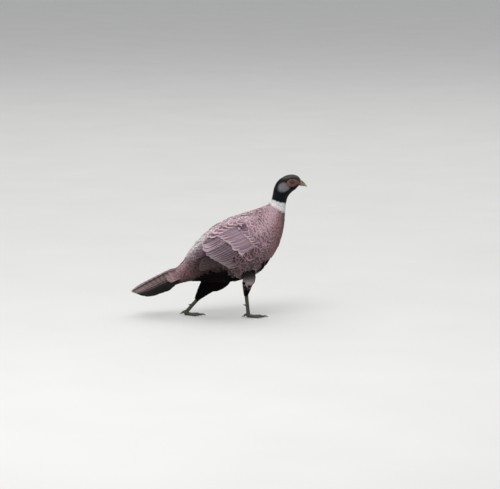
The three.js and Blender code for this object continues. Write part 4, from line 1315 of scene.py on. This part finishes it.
def bill_half(name, way, reach, width, depth_at, relief):
    """Upper (way 1) or lower (way -1) half of the bill, from inside the face to its tip."""
    share = np.linspace(0, 1, 90)[:, None]
    angle = np.linspace(0, 180, 61)[None, :]
    t = -0.18 + (reach + 0.18) * share
    along = np.maximum(0, t / reach)
    half = width * np.maximum(0.07, 1 - np.minimum(along, 1) ** 1.5)
    depth = depth_at(np.minimum(along, 1))
    grow = 1 + relief(t, angle) / np.maximum(depth, 2)
    x = BILL["x"] + BILL["length"] * t + 0 * angle
    y = half * grow * np.cos(np.radians(angle))
    mouth = BILL["z"] - BILL["fall"] * t - BILL["curve"] * t**2
    z = mouth + way * (0.02 + depth * grow * np.sin(np.radians(angle)) ** 0.9)
    back = np.linspace(180, 0, 14)[1:-1][None, :]
    low_y = half * 0.98 * np.cos(np.radians(back))
    low_x, low_z = x[:, :1] + 0 * low_y, mouth + way * (0.02 + 0.25 * depth / BILL["height"]) + 0 * low_y
    ring = [np.hstack(pair) for pair in ((x, low_x), (y, low_y), (z, low_z))]
    points = MM * np.stack(ring, -1) + shift
    columns = points.shape[1]
    far = t + np.zeros((1, columns))
    high = np.hstack([np.sin(np.radians(angle)) + 0 * t, 0 * low_y])
    hole = np.hstack([np.maximum(0, -relief(t, angle)), 0 * low_y])
    obj = add_mesh(name, with_hubs(points), tube_faces(len(share), columns), MATERIALS["bill"],
                   {"far": with_hubs(far), "high": with_hubs(high), "hole": with_hubs(hole)})
    dress(obj, "bill", {1: "bill_upper", -1: "bill_lower"}[way])


def bill_relief(t, angle):
    """Slit nostrils under a soft cover, a rib along the top and fine growth lines."""
    low = np.minimum(angle, 180 - angle)
    past = t - NOSTRIL["t"]
    over = low - NOSTRIL["angle"]
    slit = hill(past / 0.09, (over + 60 * past) / 5.5)
    cover = hill((past + 0.06) / 0.15, (over - 17) / 13)
    rib = 0.35 * hill((low - 90) / 9) * (1 - ramp(0.75, 1, t))
    lines = 0.05 * np.sin(t * 95 + 0.05 * low) * (1 - ramp(0.5, 0.9, t))
    return 0.75 * cover - 1.5 * slit + rib + lines


def bill_material():
    n = Nodes("bill", roughness=0.42, coat_weight=0.15)
    far, high, hole = (n.attribute(key, 2) for key in ("far", "high", "hole"))
    grain = n.noise(900.0, 4.0)
    colour = n.mix(grain, (112, 96, 78), (138, 122, 98))
    colour = n.mix(n.math("MULTIPLY", n.step(0.5, 1.0, high), 0.5), colour, (90, 77, 62))
    colour = n.mix(n.step(0.4, 0.95, far), colour, (172, 162, 134))
    colour = n.mix(n.fall(-0.05, 0.2, far), colour, (84, 68, 58))
    # painted shade inside the nostril slits, darker where they are deeper
    colour = n.mix(n.step(0.2, 0.9, hole), colour, (28, 22, 20))
    return n.finish(colour, n.line(grain, 0.2, 0.32), n.bump(grain, 0.0001, 0.4))


def growth_lines(t, angle):
    return 0.04 * np.sin(t * 95) + 0 * angle


def bill():
    bill_half("bill_top", 1, 1, BILL["width"],
              lambda t: np.maximum(0.6, BILL["height"] * (1 - t**1.6) ** 0.8), bill_relief)
    bill_half("bill_bottom", -1, 0.9, BILL["width"] * 0.88,
              lambda t: np.maximum(0.6, BILL["under"] * (1 - t**1.8)), growth_lines)


# Legs: scaled shanks and toes in one piece, and smooth claws and spurs.
CUFF = 0.16 # how far a bare shank goes up into the thigh's coat, as a share of the way to the knee
SOLE = 6.0 # height of the toes' roots
TOES = {
    # turn from the foot's heading, length, half the thickness, length of the claw, scutes
    "middle": (0, 43, 3.5, 10, 15),
    "inner": (30, 31, 3.2, 9, 11),
    "outer": (-31, 34, 3.1, 9, 12),
    "hind": (164, 12, 2.5, 7, 5),
}
SPUR = {"up": 0.36, "length": 7.5, "half": 2.7}
ABOVE_FLOOR = 0.0004 # metres over the floor below which a sole is pressed flat


def scute_height(row):
    """Height from 0 to 1 along rows of scutes that overlap downwards: a slow rise and a quick fall."""
    f = row % 1
    return (0.55 + 0.45 * f) * ramp(0, 0.14, f) * (1 - ramp(0.86, 1, f))


def pebbles(row, column):
    """Small round scales in staggered rows, from 0 to 1. row and column count them."""
    cell = (column + 0.5 * (np.floor(row) % 2)) % 1
    return (1 - np.abs(2 * cell - 1) ** 3) * (1 - np.abs(2 * (row % 1) - 1) ** 3)


def scales(rows, angle):
    """Relief of scaled skin round a shank: two files of scutes over the front (angle 90) and small scales
    behind. rows counts scutes along the limb."""
    off = wrapped(angle - 90)
    front = scute_height(rows + 0.5 * (off > 0)) * ramp(0, 5, np.abs(off))
    small = pebbles(rows * 1.9, off / 24)
    share = ramp(62, 76, np.abs(off))
    return mix(front, 0.6 * small, share) * (0.35 + 0.65 * ramp(0, 8, np.abs(np.abs(off) - 69)))


def limb_mesh(stops, rows, around, relief, height, flat=True):
    """Points, faces and relief of a closed limb, pressed flat on the floor where flat is true."""
    t = np.linspace(0, len(stops) - 1, rows)[:, None]
    angle = np.linspace(0, 360, around, endpoint=False)[None, :]
    raised = relief(t / (len(stops) - 1), angle + 0 * t)
    points = limb(stops, t + 0 * angle, angle + 0 * t, height * raised)
    if flat:
        low = points[..., 2]
        low = np.where(low < ABOVE_FLOOR, ABOVE_FLOOR * np.exp((low - ABOVE_FLOOR) / ABOVE_FLOOR), low)
        points[..., 2] = np.where(low < 0.3 * ABOVE_FLOOR, 0, low)
    return with_hubs(points), tube_faces(rows, around), with_hubs(raised)


def toe_place(name, turn, along, z):
    """A place along a toe that turns outwards from the foot's heading, with y away from the middle."""
    angle = math.radians(LEGS[name]["heading"] + SIDES[name] * turn)
    x, y, _ = LEGS[name]["foot"]
    return x + math.cos(angle) * along, y + SIDES[name] * math.sin(angle) * along, z


def toe_relief(scutes, share, angle):
    """Broad scutes over a toe's top and swelling pads of small scales below."""
    off = np.abs(wrapped(angle - 90))
    below = ramp(80, 100, off)
    pads = 1.3 * np.sin(np.pi * ((share * 3.6 + 0.15) % 1)) - 0.5
    end = 3.2 * ramp(0.94, 1, share) ** 2
    grain = 0.5 * pebbles(share * scutes * 1.7, off / 22)
    whole = mix(scute_height(share * scutes), pads + grain, below)
    return whole * (0.4 + 0.6 * ramp(0, 10, np.abs(off - 88))) - end


def toe(name, kind):
    """Points, faces and relief of a toe."""
    turn, length, half, _, scutes = TOES[kind]
    rest = half - 0.7
    rows = [
        # share of the length, height, and half sizes in the side view and across, as shares of half
        (0, SOLE, 0.95, 1),
        (0.3, rest + 0.6, 1.04, 1.09),
        (0.5, rest - 0.2, 0.92, 0.97),
        (0.75, rest - 0.3, 0.95, 1),
        (1, rest - 0.8, 0.66, 0.7),
    ]
    if kind == "hind":
        rows = [(0, 12, 1, 1), (0.6, 8.5, 1, 1), (1, 5, 0.8, 0.8)]
    stops = stops_of(name, [(toe_place(name, turn, length * share, z), half * high, half * wide)
                            for share, z, high, wide in rows])
    relief = partial(toe_relief, scutes)
    if kind == "hind":
        return limb_mesh(stops, 70, 32, relief, 0.4, flat=False)
    return limb_mesh(stops, 180, 36, relief, 0.42)


def ball_of_foot(name):
    """The round pad where the toes meet, as points, faces and relief."""
    x, y, _ = LEGS[name]["foot"]
    around = np.radians(np.linspace(0, 360, 48, endpoint=False))[None, :]
    down = np.radians(np.linspace(3, 177, 40))[:, None]
    raised = pebbles(np.degrees(down) / 9, np.degrees(around) / 15)
    way = [np.sin(down) * np.cos(around), np.sin(down) * np.sin(around), np.cos(down) + 0 * around]
    ball = [x, SIDES[name] * y, SOLE + 0.3] + (SOLE + 0.25 * raised)[..., None] * np.stack(way, -1)
    ball[..., 2] = np.maximum(ball[..., 2], 0)
    return with_hubs(MM * ball + shift), tube_faces(*raised.shape), with_hubs(raised)


def foot(name):
    """Shank, ball of the foot and four toes, with their scutes, scales and pads."""
    leg = LEGS[name]
    shank = stops_of(name, [
        (between(leg["hock"], leg["knee"], CUFF), 4.4, 4.2),
        (leg["hock"], 5.6, 5.0),
        (between(leg["hock"], leg["foot"], 0.15), 5.0, 4.2),
        (between(leg["hock"], leg["foot"], 0.5), 4.6, 3.6),
        (between(leg["hock"], leg["foot"], 0.86), 4.6, 4.3),
        (leg["foot"], 5.2, 5.4),
    ])
    pieces = [limb_mesh(shank, 300, 48, lambda s, angle: scales(22 * s**0.9, angle), 0.5)]
    pieces += [ball_of_foot(name)] + [toe(name, kind) for kind in TOES]
    obj = merge("scales_" + name, pieces, MATERIALS["scale"])
    dress(obj, "scale", "shank_" + name, *(f"toe_{kind}_{name}" for kind in TOES))


def claw(name, kind):
    """Points, faces and relief of a claw."""
    turn, length, half, reach, _ = TOES[kind]
    base, drop = (4.4, 2.6) if kind == "hind" else (half * 0.72 + 0.6, 2.0)
    rows = [
        # how far past the toe's end, height, and half sizes in the side view and across
        (-2, base, half * 0.56, half * 0.45),
        (reach * 0.3, base + 0.3, half * 0.52, half * 0.42),
        (reach * 0.7, base - drop * 0.4, half * 0.32, half * 0.26),
        (reach, base - drop, 0.3, 0.24),
    ]
    stops = stops_of(name, [(toe_place(name, turn, length + past, z), high, wide)
                            for past, z, high, wide in rows])
    return limb_mesh(stops, 40, 24, claw_relief, 0.22, flat=False)


def claws(name):
    """The four claws and the spur of a leg."""
    leg = LEGS[name]
    root = between(leg["foot"], leg["hock"], SPUR["up"])
    end = root + [-SPUR["length"] - 3.9, -3.5, 1.5]
    places = [(root, SPUR["half"]), (between(root, end, 0.5), SPUR["half"] * 0.8), (end, 0.4)]
    spur = stops_of(name, [(place, half, half) for place, half in places])
    pieces = [claw(name, kind) for kind in TOES]
    pieces.append(limb_mesh(spur, 40, 24, claw_relief, 0.12, flat=False))
    obj = merge("claws_" + name, pieces, MATERIALS["claw"])
    dress(obj, "claw", "spur_" + name, *(f"claw_{kind}_{name}" for kind in TOES))


def claw_relief(share, angle):
    """A keel above, a groove below and faint growth rings."""
    off = np.abs(wrapped(angle - 90))
    keel = 0.5 * hill(off / 22) - 1.2 * hill((off - 180) / 26)
    return (1 - ramp(0.7, 1, share)) * (keel + 0.12 * np.sin(share * 60))


def scale_material():
    n = Nodes("scale", roughness=0.5)
    relief = n.attribute("relief", 2)
    broad = n.noise(120.0, 3.0)
    fine = n.noise(1800.0, 3.0)
    colour = n.mix(broad, (52, 56, 42), (72, 74, 56))
    colour = n.mix(n.fall(0.05, 0.5, relief), colour, (26, 28, 21))
    colour = n.mix(n.math("MULTIPLY", n.step(0.7, 1.0, relief), 0.4), colour, (96, 96, 76))
    return n.finish(colour, n.line(fine, 0.25, 0.38), n.bump(fine, 0.00012, 0.5))


def claw_material():
    n = Nodes("claw", roughness=0.35, coat_weight=0.2)
    grain = n.noise(700.0, 4.0)
    relief = n.attribute("relief", 2)
    colour = n.mix(grain, (36, 31, 27), (66, 58, 50))
    colour = n.mix(n.step(0.3, 0.6, relief), colour, (84, 76, 66))
    return n.finish(colour, n.line(grain, 0.2, 0.26), n.bump(grain, 0.0001, 0.4))


MATERIALS = {
    "plumage": feather_material("plumage"),
    "dark_neck": feather_material("dark_neck", gloss=0.4, sheen=0.0, shine=0.15, metallic=0.1),
    "down": feather_material("down", gloss=0.95, sheen=0.0, shine=0.05),
    "wing": feather_material("wing", barbs=95.0, bars=7.0, gloss=0.58, sheen=0.1),
    "tail": feather_material("tail", barbs=190.0, bars=13.0, gloss=0.55, sheen=0.1),
    "skin": skin_material(),
    "wattle": wattle_material(),
    "eye": eye_material(),
    "bill": bill_material(),
    "scale": scale_material(),
    "claw": claw_material(),
}


# Camera, floor and light.
PIXEL = 2.65 # millimetres of the bird for each pixel of the photograph
IMAGE = (500, 489)
STAND = (218.5, 316.5) # where the bird's own origin lies in the photograph
ELEVATION = 8
DISTANCE = 8.0
FLOOR_SIZE = 40.0
LIT = (0, 0, 0.2) # where the lights point
SKY = (0.86, 0.88, 0.9, 1)
SKY_STRENGTH = 0.62


def camera():
    """Looks at the bird's right side from a little above, with the photograph's framing."""
    ahead = (IMAGE[0] / 2 - STAND[0]) * PIXEL * MM
    above = (STAND[1] - IMAGE[1] / 2) * PIXEL * MM
    tilt = math.radians(ELEVATION)
    target = Vector((ahead + shift[0], 0, above / math.cos(tilt)))
    back = Vector((0, -math.cos(tilt), math.sin(tilt)))
    data = bpy.data.cameras.new("camera")
    data.sensor_width = 36
    data.lens = data.sensor_width * DISTANCE / (IMAGE[0] * PIXEL * MM)
    data.clip_end = 100
    obj = bpy.data.objects.new("camera", data)
    obj.location = target + back * DISTANCE
    obj.rotation_mode = "QUATERNION"
    obj.rotation_quaternion = (-back).to_track_quat("-Z", "Y")
    bpy.context.scene.collection.objects.link(obj)
    bpy.context.scene.camera = obj


def floor():
    corners = [(x * FLOOR_SIZE, y * FLOOR_SIZE, 0) for x, y in ((-1, -1), (1, -1), (1, 1), (-1, 1))]
    n = Nodes("floor", roughness=0.85)
    fine = n.noise(3.0, 2.0)
    material = n.finish(n.mix(fine, (214, 213, 210), (222, 221, 218)))
    obj = add_mesh("floor", corners, [[0, 1, 2, 3]], material)


def light(name, place, size, power):
    data = bpy.data.lights.new(name, "AREA")
    data.size = size
    data.energy = power
    obj = bpy.data.objects.new(name, data)
    obj.location = place
    obj.rotation_mode = "QUATERNION"
    obj.rotation_quaternion = (Vector(LIT) - Vector(place)).to_track_quat("-Z", "Y")
    bpy.context.scene.collection.objects.link(obj)


def studio():
    world = bpy.data.worlds.new("studio")
    bpy.context.scene.world = world
    world.use_nodes = True
    background = world.node_tree.nodes["Background"].inputs
    background["Color"].default_value = SKY
    background["Strength"].default_value = SKY_STRENGTH
    light("key", (-0.8, -2.0, 2.8), 2.0, 50)
    light("sky", (0, 2.0, 6.0), 9.0, 260)
    bpy.context.scene.view_settings.view_transform = "Standard"


camera()
floor()
studio()
skin()
body_coat()
bill()
tail()
for side_name in SIDES:
    thigh_coat(side_name)
    foot(side_name)
    claws(side_name)
    wing(side_name)
    eye(side_name)
    wattle(side_name)
